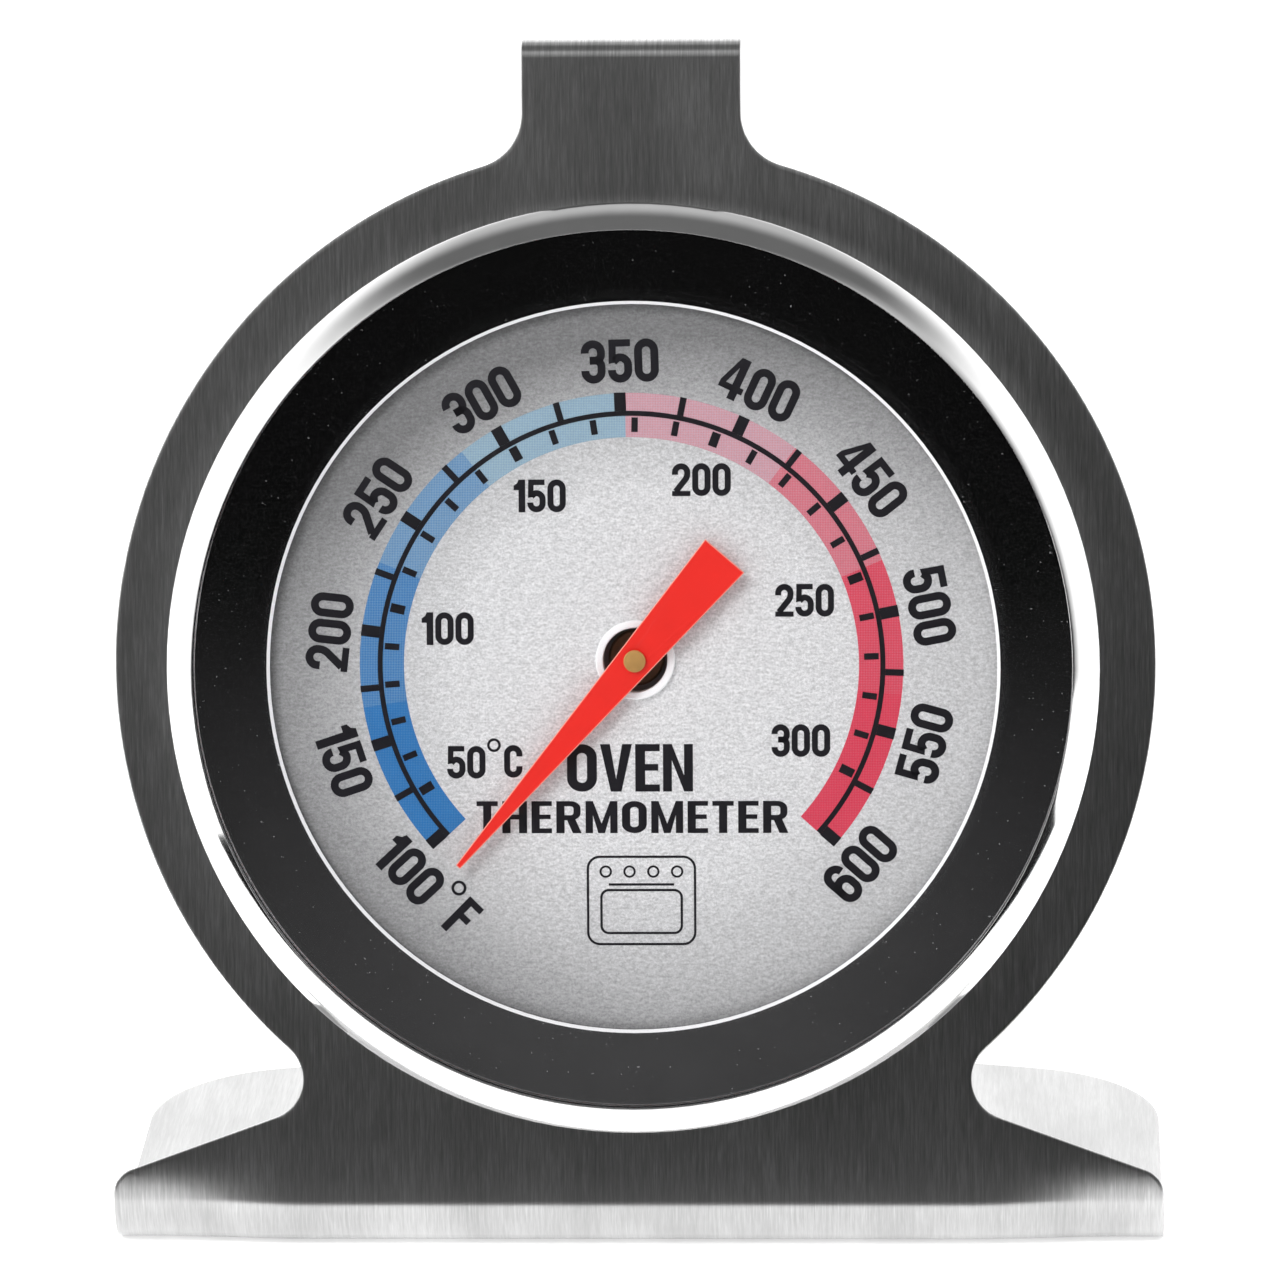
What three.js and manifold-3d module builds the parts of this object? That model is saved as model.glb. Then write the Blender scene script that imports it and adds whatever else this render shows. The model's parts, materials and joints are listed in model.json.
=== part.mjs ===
// Dial oven thermometer: a bent stainless sheet that stands on its foot or hangs by its hook, a round case
// held in the sheet's hole, and a bimetal spiral in the case that turns the pointer over the dial.
// Millimetres. +Z is up, the dial faces -Y, and the origin is the middle of the base's underside.
import * as THREE from 'three';
import { mergeVertices } from 'three/addons/utils/BufferGeometryUtils.js';
import Module from 'manifold-3d';

const wasm = await Module();
wasm.setup();

const RAD = Math.PI / 180;

// Stand sheet
const SHEET = 0.5;
const LEAN = 12 * RAD;
const RING_RADIUS = 35;
const RING_HOLE_RADIUS = 28.3;
const BASE_HALF_WIDTH = 35.5;
const BASE_DEPTH = 36.3;
const BASE_CORNER_RADIUS = 11;
const BASE_BACK_RADIUS = 110;
const FOOT_BEND_RADIUS = 3;
const FOOT_TO_DIAL = 36.3;
const FOOT_CORNER_RADIUS = 2.4;
const NECK_HALF_WIDTH = 22.6;
const NECK_FILLET = 2.8;
const FLARE = 19.9 * RAD;
const HOOK_HALF_WIDTH = 7.35;
const HOOK_FILLET = 3.7;
const HOOK_HEIGHT = 42;
const HOOK_DEPTH = 9;
const HOOK_LIP = 6.5;
const HOOK_BEND_RADIUS = 1.2;
const HOOK_TIP_HALF_WIDTH = 6.85;

// Case and window, as radii from the dial's axis and heights in front of the sheet's front face
const CASE_RADIUS = 27.9;
const CASE_WALL = 0.45;
const CASE_STEP_RADIUS = 20.9;
const CASE_SHOULDER = -7.05;
const CASE_BACK = -8.45;
const CASE_BEAD_RADIUS = 29;
const FLANGE_RADIUS = 30.1;
const FLANGE_BACK = 0.3;
const FLANGE_FRONT = 0.65;
const BEAD_BACK = -1.6;
const BEAD_FRONT = -1.15;
const VENT_COUNT = 8;
const VENT_PITCH_RADIUS = 16;
const VENT_LENGTH = 7;
const VENT_WIDTH = 1.8;
const REAR_HOLE_RADIUS = 1.8;
const BEZEL_RADIUS = 31.25;
const BEZEL_MOUTH_RADIUS = 29.4;
const BEZEL_FRONT = 4.72;
const BEZEL_WALL = 0.4;
const BEZEL_LIP_SLOPE = 28 * RAD;
const BEZEL_SHOULDER_SLOPE = 58 * RAD;
const LENS_RADIUS = 29.8;
const LENS_BACK = 3.15;
const LENS_FRONT = 4.05;
const TRIM_RADIUS = 29.3;
const TRIM_MOUTH_RADIUS = 24.6;
const TRIM_FRONT = 3.05;
const TRIM_FACE = 2.27;
const DIAL_RADIUS = 29.6;
const DIAL_BACK = 0.95;
const DIAL_FRONT = 1.25;
const DIAL_HOLE_RADIUS = 2.48;
const EYELET_RADIUS = 2.65;
const EYELET_BORE_RADIUS = 2.15;
const EYELET_FRONT = 1.7;

// Movement, whose axis lies a little up and to the right of the case's middle
const MOVEMENT_ASIDE = 0.14;
const MOVEMENT_RISE = 0.5;
const POINTER_REACH = 18.3;
const POINTER_TAIL = 9.3;
const POINTER_TIP_HALF_WIDTH = 0.19;
const POINTER_TAIL_HALF_WIDTH = 1.73;
const POINTER_BACK = 2.1;
const POINTER_THICKNESS = 0.3;
const POINTER_REST_TURN = 139.2 * RAD;
const SPIGOT_RADIUS = 0.38;
const SHAFT_RADIUS = 0.62;
const SHAFT_END = -8.2;
const SHAFT_HEAD_RADIUS = 0.74;
const SHAFT_SHOULDER_RADIUS = 1;
const SHAFT_SHOULDER = 1.3;
const RUNNING_GAP = 0.12;
const HEAD_GAP = 0.3;
const BEARING_BORE_RADIUS = 0.72;
const REAR_BEARING_NECK_RADIUS = 1.5;
const REAR_BEARING_RADIUS = 2.4;
const FRONT_BEARING_NECK_RADIUS = 1;
const FRONT_BEARING_RADIUS = 1.9;
const WASHER_RADIUS = 1.25;
const WASHER_BACK = 1.72;
const WASHER_FRONT = 1.98;
const RETAINER_RADIUS = 1.5;
const RETAINER_BACK = -2.85;
const RETAINER_FRONT = -2.6;
const COLLET_RADIUS = 1.7;
const BRIDGE_WIDTH = 5;
const BRIDGE_HALF_SPAN = 11.3;
const BRIDGE_FOOT_END = 17.2;
const BRIDGE_TOP = -1.3;
const BRIDGE_SHEET = 0.6;
const BRIDGE_HOLE_RADIUS = 1.3;
const FOOT_SEAT = -7.7;
const RIVET_X = 14.5;
const RIVET_SHANK_RADIUS = 0.6;
const RIVET_HOLE_RADIUS = 0.9;
const RIVET_HEAD_RADIUS = 1.35;
const RIVET_INNER_HEAD_RADIUS = 1.2;
const COIL_INNER_RADIUS = 2.2;
const COIL_OUTER_RADIUS = 8.6;
const COIL_TURNS = 4.5;
const COIL_STRIP = 0.3;
const COIL_BACK = -6.2;
const COIL_WIDTH = 3;
const ANCHOR_FACE = 9.1;
const ANCHOR_HALF_WIDTH = 1.6;
const ANCHOR_SHEET = 0.5;
const ANCHOR_FOOT_END = 13.2;
const ANCHOR_RIVET_Y = -11.4;
const END_RIVET_X = 0.9;
const END_RIVET_HEAD_RADIUS = 0.8;
const END_RIVET_SHANK_RADIUS = 0.35;
const END_RIVET_HOLE_RADIUS = 0.5;

const FINE_SEGMENTS = 60;
const SMALL_SEGMENTS = 24;
const CHORD_SAG = 0.03;

const brushedSteel = { color: 0x6a6b6c, roughness: 0.38, metalness: 1 };
const polishedSteel = { color: 0xd9dadb, roughness: 0.12, metalness: 1 };
const darkMirror = { color: 0x242425, roughness: 0.1, metalness: 1 };
const drawnSteel = { color: 0xb4b5b6, roughness: 0.3, metalness: 1 };
const bracketSteel = { color: 0x9b9c9d, roughness: 0.42, metalness: 1 };
const brass = { color: 0xb8893a, roughness: 0.3, metalness: 1 };
const bimetal = { color: 0x9c8f7a, roughness: 0.35, metalness: 1 };
const dialSilver = { color: 0xb9babc, roughness: 0.55, metalness: 0.3 };
const pointerRed = { color: 0xf2391d, roughness: 0.5, metalness: 0 };
const glass = { color: 0xe4ecee, roughness: 0.05, metalness: 0, transparent: true, opacity: 0.25 };

// ---- Geometry helpers ----

function toManifold(geometry) {
  const bare = geometry.clone();
  bare.deleteAttribute('normal');
  bare.deleteAttribute('uv');
  const merged = mergeVertices(bare);
  return new wasm.Manifold(new wasm.Mesh({
    numProp: 3,
    vertProperties: new Float32Array(merged.attributes.position.array),
    triVerts: new Uint32Array(merged.index.array),
  }));
}

function toGeometry(manifold) {
  const mesh = manifold.getMesh();
  const geometry = new THREE.BufferGeometry();
  geometry.setAttribute('position', new THREE.BufferAttribute(mesh.vertProperties, 3));
  geometry.setIndex(new THREE.BufferAttribute(mesh.triVerts, 1));
  geometry.computeVertexNormals();
  return geometry;
}

function cutFrom(geometry, tools) {
  let result = toManifold(geometry);
  for (const tool of tools) {
    result = result.subtract(toManifold(tool));
  }
  return toGeometry(result);
}

// Points of an arc from one angle to another, with chords that leave the circle by CHORD_SAG at most.
function arcPoints(x, y, radius, from, to) {
  const step = 2 * Math.acos(1 - CHORD_SAG / radius);
  const count = Math.max(3, Math.ceil(Math.abs(to - from) / step));
  const points = [];
  for (let i = 0; i <= count; i += 1) {
    const angle = from + (to - from) * i / count;
    points.push(new THREE.Vector2(x + radius * Math.cos(angle), y + radius * Math.sin(angle)));
  }
  return points;
}

// A closed shape through the points, without the doubled points where one arc runs into the next.
function shapeOf(points) {
  const kept = points.filter((point, i) => i === 0 || point.distanceTo(points[i - 1]) > 1e-4);
  return new THREE.Shape(kept);
}

function prism(shape, from, to) {
  const geometry = new THREE.ExtrudeGeometry(shape, { depth: to - from, bevelEnabled: false });
  return geometry.translate(0, 0, from);
}

// A prism of a shape drawn in (y, z), running along x.
function prismAlongX(shape, from, to) {
  const turn = new THREE.Matrix4().makeBasis(
    new THREE.Vector3(0, 1, 0),
    new THREE.Vector3(0, 0, 1),
    new THREE.Vector3(1, 0, 0),
  );
  return prism(shape, from, to).applyMatrix4(turn);
}

// A prism of a shape drawn in (x, z), centred on y = 0.
function prismAlongY(shape, width) {
  return prism(shape, -width / 2, width / 2).rotateX(Math.PI / 2);
}

function rod(x, y, radius, from, to, segments = SMALL_SEGMENTS) {
  const geometry = new THREE.CylinderGeometry(radius, radius, to - from, segments);
  return geometry.rotateX(Math.PI / 2).translate(x, y, (from + to) / 2);
}

// Turns a profile of [radius, height] pairs about the z axis. Material lies to the left of the profile.
function turned(profile, segments = SMALL_SEGMENTS) {
  const points = profile.map(([radius, height]) => new THREE.Vector2(radius, height));
  return new THREE.LatheGeometry(points, segments).rotateX(Math.PI / 2);
}

// Turns a profile that closes on itself.
function turnedRing(profile, segments = SMALL_SEGMENTS) {
  return turned([...profile, profile[0]], segments);
}

function place(parent, name, geometry, finish) {
  const mesh = new THREE.Mesh(geometry, new THREE.MeshStandardMaterial(finish));
  mesh.name = name;
  parent.add(mesh);
  return mesh;
}

// ---- Stand ----

// The outer half of the sheet seen square to its face, from the foot's corner up to the hook.
function plateArcs() {
  const neckX = NECK_HALF_WIDTH + NECK_FILLET;
  const neckY = -Math.sqrt((RING_RADIUS + NECK_FILLET) ** 2 - neckX ** 2);
  const neckAngle = Math.atan2(neckY, neckX);
  const flareNormal = Math.PI / 2 - FLARE;
  const flareX = neckX - NECK_FILLET * Math.cos(flareNormal);
  const flareY = neckY - NECK_FILLET * Math.sin(flareNormal);
  const cornerX = BASE_HALF_WIDTH - FOOT_CORNER_RADIUS;
  const cornerY = flareY - (cornerX - flareX) * Math.tan(FLARE) - FOOT_CORNER_RADIUS / Math.cos(FLARE);
  const hookX = HOOK_HALF_WIDTH + HOOK_FILLET;
  const hookY = Math.sqrt((RING_RADIUS + HOOK_FILLET) ** 2 - hookX ** 2);
  const hookAngle = Math.atan2(hookY, hookX);
  return [
    { x: cornerX, y: cornerY, radius: FOOT_CORNER_RADIUS, from: 0, to: flareNormal },
    { x: neckX, y: neckY, radius: NECK_FILLET, from: flareNormal + Math.PI, to: neckAngle + Math.PI },
    { x: 0, y: 0, radius: RING_RADIUS, from: neckAngle, to: hookAngle },
    { x: hookX, y: hookY, radius: HOOK_FILLET, from: hookAngle + Math.PI, to: Math.PI },
  ];
}

function plateOutline(bottom, top) {
  const arcs = plateArcs();
  const right = arcs.flatMap((arc) => arcPoints(arc.x, arc.y, arc.radius, arc.from, arc.to));
  right.unshift(new THREE.Vector2(BASE_HALF_WIDTH, bottom));
  right.push(new THREE.Vector2(HOOK_HALF_WIDTH, top));
  const left = right.map((point) => new THREE.Vector2(-point.x, point.y)).reverse();
  return shapeOf([...right, ...left]);
}

// The base seen from above, from its front bend to its rounded back edge.
function baseOutline(front, bend) {
  const cornerX = BASE_HALF_WIDTH - BASE_CORNER_RADIUS;
  const backCentre = bend + BASE_DEPTH - BASE_BACK_RADIUS;
  const cornerY = backCentre + Math.sqrt((BASE_BACK_RADIUS - BASE_CORNER_RADIUS) ** 2 - cornerX ** 2);
  const meet = Math.atan2(cornerY - backCentre, cornerX);
  const right = [
    new THREE.Vector2(BASE_HALF_WIDTH, front),
    ...arcPoints(cornerX, cornerY, BASE_CORNER_RADIUS, 0, meet),
    ...arcPoints(0, backCentre, BASE_BACK_RADIUS, meet, Math.PI / 2),
  ];
  const left = right.map((point) => new THREE.Vector2(-point.x, point.y)).reverse();
  return shapeOf([...right, ...left]);
}

// A strip of sheet seen from its edge, drawn by walking along its outer face.
// Each move goes forward or turns right.
function bentStrip(start, startHeading, moves) {
  const outer = [];
  const inner = [];
  let position = start.clone();
  let heading = startHeading;
  const mark = () => {
    outer.push(position.clone());
    const right = new THREE.Vector2(Math.sin(heading), -Math.cos(heading));
    inner.push(position.clone().addScaledVector(right, SHEET));
  };
  mark();
  for (const move of moves) {
    if (move.forward) {
      position.add(new THREE.Vector2(Math.cos(heading), Math.sin(heading)).multiplyScalar(move.forward));
      mark();
      continue;
    }
    const right = new THREE.Vector2(Math.sin(heading), -Math.cos(heading));
    const centre = position.clone().addScaledVector(right, move.radius);
    const firstAngle = heading + Math.PI / 2;
    const bend = arcPoints(centre.x, centre.y, move.radius, firstAngle, firstAngle - move.turn);
    for (const point of bend.slice(1)) {
      position = point;
      heading = Math.atan2(point.y - centre.y, point.x - centre.x) - Math.PI / 2;
      mark();
    }
  }
  return shapeOf([...outer, ...inner.reverse()].reverse());
}

const bendY = -BASE_DEPTH / 2;
const dialY = bendY - FOOT_BEND_RADIUS * Math.cos(LEAN) + FOOT_TO_DIAL * Math.sin(LEAN);
const dialZ = FOOT_BEND_RADIUS * (1 + Math.sin(LEAN)) + FOOT_TO_DIAL * Math.cos(LEAN);

// Moves geometry from the dial's own frame (x right, y up the sheet, z out of its face) into the stand's.
function fromDial(geometry) {
  return geometry.rotateX(Math.PI / 2 - LEAN).translate(0, dialY, dialZ);
}

// The wedge cut off one side of the hook, which narrows towards its lip.
function hookSideCut(side) {
  const wide = 2 * HOOK_HALF_WIDTH;
  const wedge = shapeOf([
    new THREE.Vector2(side * HOOK_HALF_WIDTH, HOOK_BEND_RADIUS),
    new THREE.Vector2(side * HOOK_TIP_HALF_WIDTH, HOOK_DEPTH - HOOK_BEND_RADIUS),
    new THREE.Vector2(side * HOOK_TIP_HALF_WIDTH, HOOK_DEPTH + 1),
    new THREE.Vector2(side * wide, HOOK_DEPTH + 1),
    new THREE.Vector2(side * wide, HOOK_BEND_RADIUS),
  ]);
  const block = prismAlongY(wedge, 2 * HOOK_LIP + 2).rotateX(Math.PI);
  return toManifold(fromDial(block.translate(0, HOOK_HEIGHT, 0)));
}

function standSheet() {
  const side = bentStrip(new THREE.Vector2(bendY + BASE_DEPTH, 0), Math.PI, [
    { forward: BASE_DEPTH },
    { turn: Math.PI / 2 + LEAN, radius: FOOT_BEND_RADIUS },
    { forward: FOOT_TO_DIAL + HOOK_HEIGHT - HOOK_BEND_RADIUS },
    { turn: Math.PI / 2, radius: HOOK_BEND_RADIUS },
    { forward: HOOK_DEPTH - 2 * HOOK_BEND_RADIUS },
    { turn: Math.PI / 2, radius: HOOK_BEND_RADIUS },
    { forward: HOOK_LIP - HOOK_BEND_RADIUS },
  ]);
  const strip = prismAlongX(side, -BASE_HALF_WIDTH - 1, BASE_HALF_WIDTH + 1);
  const face = fromDial(prism(plateOutline(-60, 60), -HOOK_DEPTH - 3, 2));
  const base = prism(baseOutline(bendY - 2 * FOOT_BEND_RADIUS, bendY), -1, 2);
  const hole = fromDial(rod(0, 0, RING_HOLE_RADIUS, -2, 2, FINE_SEGMENTS));
  const blank = toManifold(face).add(toManifold(base));
  const cut = toManifold(hole).add(hookSideCut(1)).add(hookSideCut(-1));
  return toGeometry(toManifold(strip).intersect(blank).subtract(cut));
}

// ---- Case, dial and window ----

function ventSlot(angle) {
  const half = VENT_LENGTH / 2 - VENT_WIDTH / 2;
  const radius = VENT_WIDTH / 2;
  const slot = shapeOf([
    ...arcPoints(half, 0, radius, -Math.PI / 2, Math.PI / 2),
    ...arcPoints(-half, 0, radius, Math.PI / 2, Math.PI * 1.5),
  ]);
  return prism(slot, CASE_BACK - 1, CASE_BACK + 2).translate(0, VENT_PITCH_RADIUS, 0).rotateZ(angle);
}

function caseCup() {
  const inner = CASE_RADIUS - CASE_WALL;
  const floor = CASE_BACK + CASE_WALL;
  const step = CASE_SHOULDER + CASE_WALL;
  const slope = CASE_SHOULDER - CASE_BACK;
  const corner = 2;
  const shell = turned([
    [0, CASE_BACK],
    [CASE_STEP_RADIUS - slope, CASE_BACK],
    [CASE_STEP_RADIUS, CASE_SHOULDER],
    [CASE_RADIUS - corner, CASE_SHOULDER],
    [CASE_RADIUS - corner * 0.3, CASE_SHOULDER + corner * 0.3],
    [CASE_RADIUS, CASE_SHOULDER + corner],
    [CASE_RADIUS, -2.2],
    [CASE_BEAD_RADIUS, BEAD_BACK],
    [CASE_BEAD_RADIUS, BEAD_FRONT],
    [CASE_RADIUS, -0.8],
    [CASE_RADIUS, FLANGE_BACK],
    [FLANGE_RADIUS, FLANGE_BACK],
    [FLANGE_RADIUS, FLANGE_FRONT],
    [inner, FLANGE_FRONT],
    [inner, -0.6],
    [CASE_BEAD_RADIUS - CASE_WALL, BEAD_FRONT],
    [CASE_BEAD_RADIUS - CASE_WALL, BEAD_BACK],
    [inner, -2.4],
    [inner, step + corner],
    [inner - corner * 0.4, step + corner * 0.3],
    [inner - corner, step],
    [CASE_STEP_RADIUS - CASE_WALL * 0.4, step],
    [CASE_STEP_RADIUS - slope - CASE_WALL * 0.4, floor],
    [0, floor],
  ], FINE_SEGMENTS);
  const cuts = [rod(MOVEMENT_ASIDE, MOVEMENT_RISE, REAR_HOLE_RADIUS, CASE_BACK - 1, floor + 1)];
  for (const [x, y] of [[-RIVET_X, 0], [RIVET_X, 0], [0, ANCHOR_RIVET_Y]]) {
    cuts.push(rod(x + MOVEMENT_ASIDE, y + MOVEMENT_RISE, RIVET_HOLE_RADIUS, CASE_BACK - 1, floor + 1));
  }
  for (let i = 0; i < VENT_COUNT; i += 1) {
    cuts.push(ventSlot((i + 0.5) * 2 * Math.PI / VENT_COUNT));
  }
  return cutFrom(shell, cuts);
}

// The rolled rim: a straight wall whose crown arches in over the window and ends in a narrow lip.
function bezelRing() {
  const gap = 0.1;
  const crownReach = Math.sin(BEZEL_SHOULDER_SLOPE) - Math.sin(BEZEL_LIP_SLOPE);
  const crownRadius = (BEZEL_RADIUS - BEZEL_MOUTH_RADIUS) / crownReach;
  const centreRadius = BEZEL_MOUTH_RADIUS - crownRadius * Math.sin(BEZEL_LIP_SLOPE);
  const centreHeight = BEZEL_FRONT - crownRadius * Math.cos(BEZEL_LIP_SLOPE);
  const crown = [0, 0.2, 0.4, 0.6, 0.8, 1].map((part) => {
    const slope = BEZEL_SHOULDER_SLOPE + (BEZEL_LIP_SLOPE - BEZEL_SHOULDER_SLOPE) * part;
    return [centreRadius + crownRadius * Math.sin(slope), centreHeight + crownRadius * Math.cos(slope)];
  });
  return turnedRing([
    [BEZEL_RADIUS - 0.65, 0.3],
    [BEZEL_RADIUS - 0.2, 0.3],
    [BEZEL_RADIUS, 0.55],
    ...crown,
    [BEZEL_MOUTH_RADIUS, LENS_FRONT + gap],
    [LENS_RADIUS + gap, LENS_FRONT + gap / 2],
    [BEZEL_RADIUS - 0.7, 3.3],
    [BEZEL_RADIUS - BEZEL_WALL, 2.6],
    [BEZEL_RADIUS - BEZEL_WALL, 0.65],
    [BEZEL_RADIUS - 0.65, 0.65],
  ], FINE_SEGMENTS);
}

function lensDisc() {
  const edge = 0.15;
  return turned([
    [0, LENS_BACK],
    [LENS_RADIUS - edge, LENS_BACK],
    [LENS_RADIUS, LENS_BACK + edge],
    [LENS_RADIUS, LENS_FRONT - edge],
    [LENS_RADIUS - edge, LENS_FRONT],
    [0, LENS_FRONT],
  ], FINE_SEGMENTS);
}

// A polished cone from under the window down to the dial, with a skirt that spaces the window off the dial.
function trimRing() {
  const seat = DIAL_FRONT + 0.3;
  const sheet = 0.25;
  return turnedRing([
    [TRIM_RADIUS - 0.35, seat],
    [TRIM_RADIUS, seat],
    [TRIM_RADIUS, TRIM_FRONT],
    [TRIM_RADIUS - 0.15, TRIM_FRONT],
    [TRIM_RADIUS - 0.35, TRIM_FACE + 0.4],
    [TRIM_RADIUS - 0.7, TRIM_FACE + 0.2],
    [TRIM_MOUTH_RADIUS + sheet, TRIM_FACE],
    [TRIM_MOUTH_RADIUS + 0.06, TRIM_FACE - 0.08],
    [TRIM_MOUTH_RADIUS, TRIM_FACE - 0.22],
    [TRIM_MOUTH_RADIUS, seat],
    [TRIM_MOUTH_RADIUS + sheet, seat],
    [TRIM_MOUTH_RADIUS + sheet + 0.02, TRIM_FACE - sheet],
    [TRIM_RADIUS - 0.7, TRIM_FACE - 0.07],
    [TRIM_RADIUS - 0.35, TRIM_FACE + 0.1],
  ], FINE_SEGMENTS);
}

function dialDisc() {
  const disc = rod(0, 0, DIAL_RADIUS, DIAL_BACK, DIAL_FRONT, FINE_SEGMENTS);
  const back = DIAL_BACK - 1;
  const front = DIAL_FRONT + 1;
  const hole = rod(MOVEMENT_ASIDE, MOVEMENT_RISE, DIAL_HOLE_RADIUS, back, front, FINE_SEGMENTS / 2);
  return cutFrom(disc, [hole]);
}

function eyelet() {
  const tube = EYELET_BORE_RADIUS + 0.2;
  return turnedRing([
    [EYELET_BORE_RADIUS, DIAL_BACK - 0.45],
    [EYELET_RADIUS, DIAL_BACK - 0.45],
    [EYELET_RADIUS, DIAL_BACK - 0.15],
    [tube, DIAL_BACK - 0.15],
    [tube, DIAL_FRONT + 0.13],
    [EYELET_RADIUS, DIAL_FRONT + 0.13],
    [EYELET_RADIUS, EYELET_FRONT - 0.12],
    [EYELET_RADIUS - 0.12, EYELET_FRONT],
    [EYELET_BORE_RADIUS + 0.12, EYELET_FRONT],
    [EYELET_BORE_RADIUS, EYELET_FRONT - 0.12],
  ], FINE_SEGMENTS / 2);
}

// ---- Movement ----

// A hat-shaped strap over the spiral: its feet stand on the case floor and its top holds the front bearing.
function movementBridge() {
  const legInside = BRIDGE_HALF_SPAN - BRIDGE_SHEET;
  const right = [
    [BRIDGE_FOOT_END, FOOT_SEAT],
    [BRIDGE_FOOT_END, FOOT_SEAT + BRIDGE_SHEET],
    [BRIDGE_HALF_SPAN, FOOT_SEAT + BRIDGE_SHEET],
    [BRIDGE_HALF_SPAN, BRIDGE_TOP],
  ];
  const underRight = [
    [legInside, BRIDGE_TOP - BRIDGE_SHEET],
    [legInside, FOOT_SEAT],
  ];
  const mirrored = (half) => half.map(([x, z]) => [-x, z]).reverse();
  const outline = [...right, ...mirrored(right), ...mirrored(underRight), ...underRight];
  const strap = prismAlongY(shapeOf(outline.map(([x, z]) => new THREE.Vector2(x, z))), BRIDGE_WIDTH);
  return cutFrom(strap, [
    rod(0, 0, BRIDGE_HOLE_RADIUS, BRIDGE_TOP - 1, BRIDGE_TOP + 1),
    rod(-RIVET_X, 0, RIVET_HOLE_RADIUS, FOOT_SEAT - 1, FOOT_SEAT + 1),
    rod(RIVET_X, 0, RIVET_HOLE_RADIUS, FOOT_SEAT - 1, FOOT_SEAT + 1),
  ]);
}

// A rivet through the case floor and a foot, with its domed head outside the case.
function floorRivet(footTop) {
  const under = CASE_BACK - HEAD_GAP;
  const over = footTop + HEAD_GAP;
  return turned([
    [0, under - 0.6],
    [0.8, under - 0.5],
    [RIVET_HEAD_RADIUS, under - 0.15],
    [RIVET_HEAD_RADIUS, under],
    [RIVET_SHANK_RADIUS, under],
    [RIVET_SHANK_RADIUS, over],
    [RIVET_INNER_HEAD_RADIUS, over],
    [RIVET_INNER_HEAD_RADIUS, over + 0.25],
    [0.6, over + 0.45],
    [0, over + 0.5],
  ]);
}

function rearBearing() {
  const under = CASE_BACK - HEAD_GAP;
  const collar = FOOT_SEAT + 0.6;
  const bore = SHAFT_END - HEAD_GAP;
  return turned([
    [0, under - 0.5],
    [REAR_BEARING_RADIUS - 0.2, under - 0.5],
    [REAR_BEARING_RADIUS, under - 0.3],
    [REAR_BEARING_RADIUS, under],
    [REAR_BEARING_NECK_RADIUS, under],
    [REAR_BEARING_NECK_RADIUS, FOOT_SEAT],
    [REAR_BEARING_RADIUS, FOOT_SEAT],
    [REAR_BEARING_RADIUS, collar],
    [BEARING_BORE_RADIUS, collar],
    [BEARING_BORE_RADIUS, bore],
    [0, bore],
  ]);
}

function frontBearing() {
  const seat = BRIDGE_TOP + HEAD_GAP;
  const bottom = BRIDGE_TOP - BRIDGE_SHEET - 0.4;
  const chamfer = 0.15;
  return turnedRing([
    [BEARING_BORE_RADIUS, bottom],
    [FRONT_BEARING_NECK_RADIUS, bottom],
    [FRONT_BEARING_NECK_RADIUS, seat],
    [FRONT_BEARING_RADIUS, seat],
    [FRONT_BEARING_RADIUS, seat + 0.5 - chamfer],
    [FRONT_BEARING_RADIUS - chamfer, seat + 0.5],
    [BEARING_BORE_RADIUS, seat + 0.5],
  ]);
}

// A flat spiral of strip from the collet out to the anchor, where it ends at the bottom.
function bimetalCoil() {
  const steps = Math.round(COIL_TURNS * 24);
  const outerFace = [];
  const innerFace = [];
  for (let i = 0; i <= steps; i += 1) {
    const along = i / steps;
    const angle = -Math.PI / 2 + (along - 1) * COIL_TURNS * 2 * Math.PI;
    const radius = COIL_INNER_RADIUS + (COIL_OUTER_RADIUS - COIL_INNER_RADIUS) * along;
    const direction = new THREE.Vector2(Math.cos(angle), Math.sin(angle));
    outerFace.push(direction.clone().multiplyScalar(radius + COIL_STRIP / 2));
    innerFace.push(direction.clone().multiplyScalar(radius - COIL_STRIP / 2));
  }
  const strip = prism(shapeOf([...outerFace, ...innerFace.reverse()]), COIL_BACK, COIL_BACK + COIL_WIDTH);
  return cutFrom(strip, [endRivetHole()]);
}

const endRivetHeight = COIL_BACK + COIL_WIDTH / 2;

// The hole for the small rivet that joins the strip's end to the anchor, running along y.
function endRivetHole() {
  const hole = new THREE.CylinderGeometry(END_RIVET_HOLE_RADIUS, END_RIVET_HOLE_RADIUS, 3, 16);
  return hole.translate(END_RIVET_X, -ANCHOR_FACE + 0.2, endRivetHeight);
}

function coilEndRivet() {
  const profile = [
    [0, -0.85],
    [END_RIVET_HEAD_RADIUS, -0.8],
    [END_RIVET_HEAD_RADIUS, -0.62],
    [END_RIVET_SHANK_RADIUS, -0.62],
    [END_RIVET_SHANK_RADIUS, 0.9],
    [END_RIVET_HEAD_RADIUS, 0.9],
    [END_RIVET_HEAD_RADIUS, 1.05],
    [0, 1.1],
  ];
  const points = profile.map(([radius, height]) => new THREE.Vector2(radius, height));
  return new THREE.LatheGeometry(points, 16).translate(END_RIVET_X, -ANCHOR_FACE, endRivetHeight);
}

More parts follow.
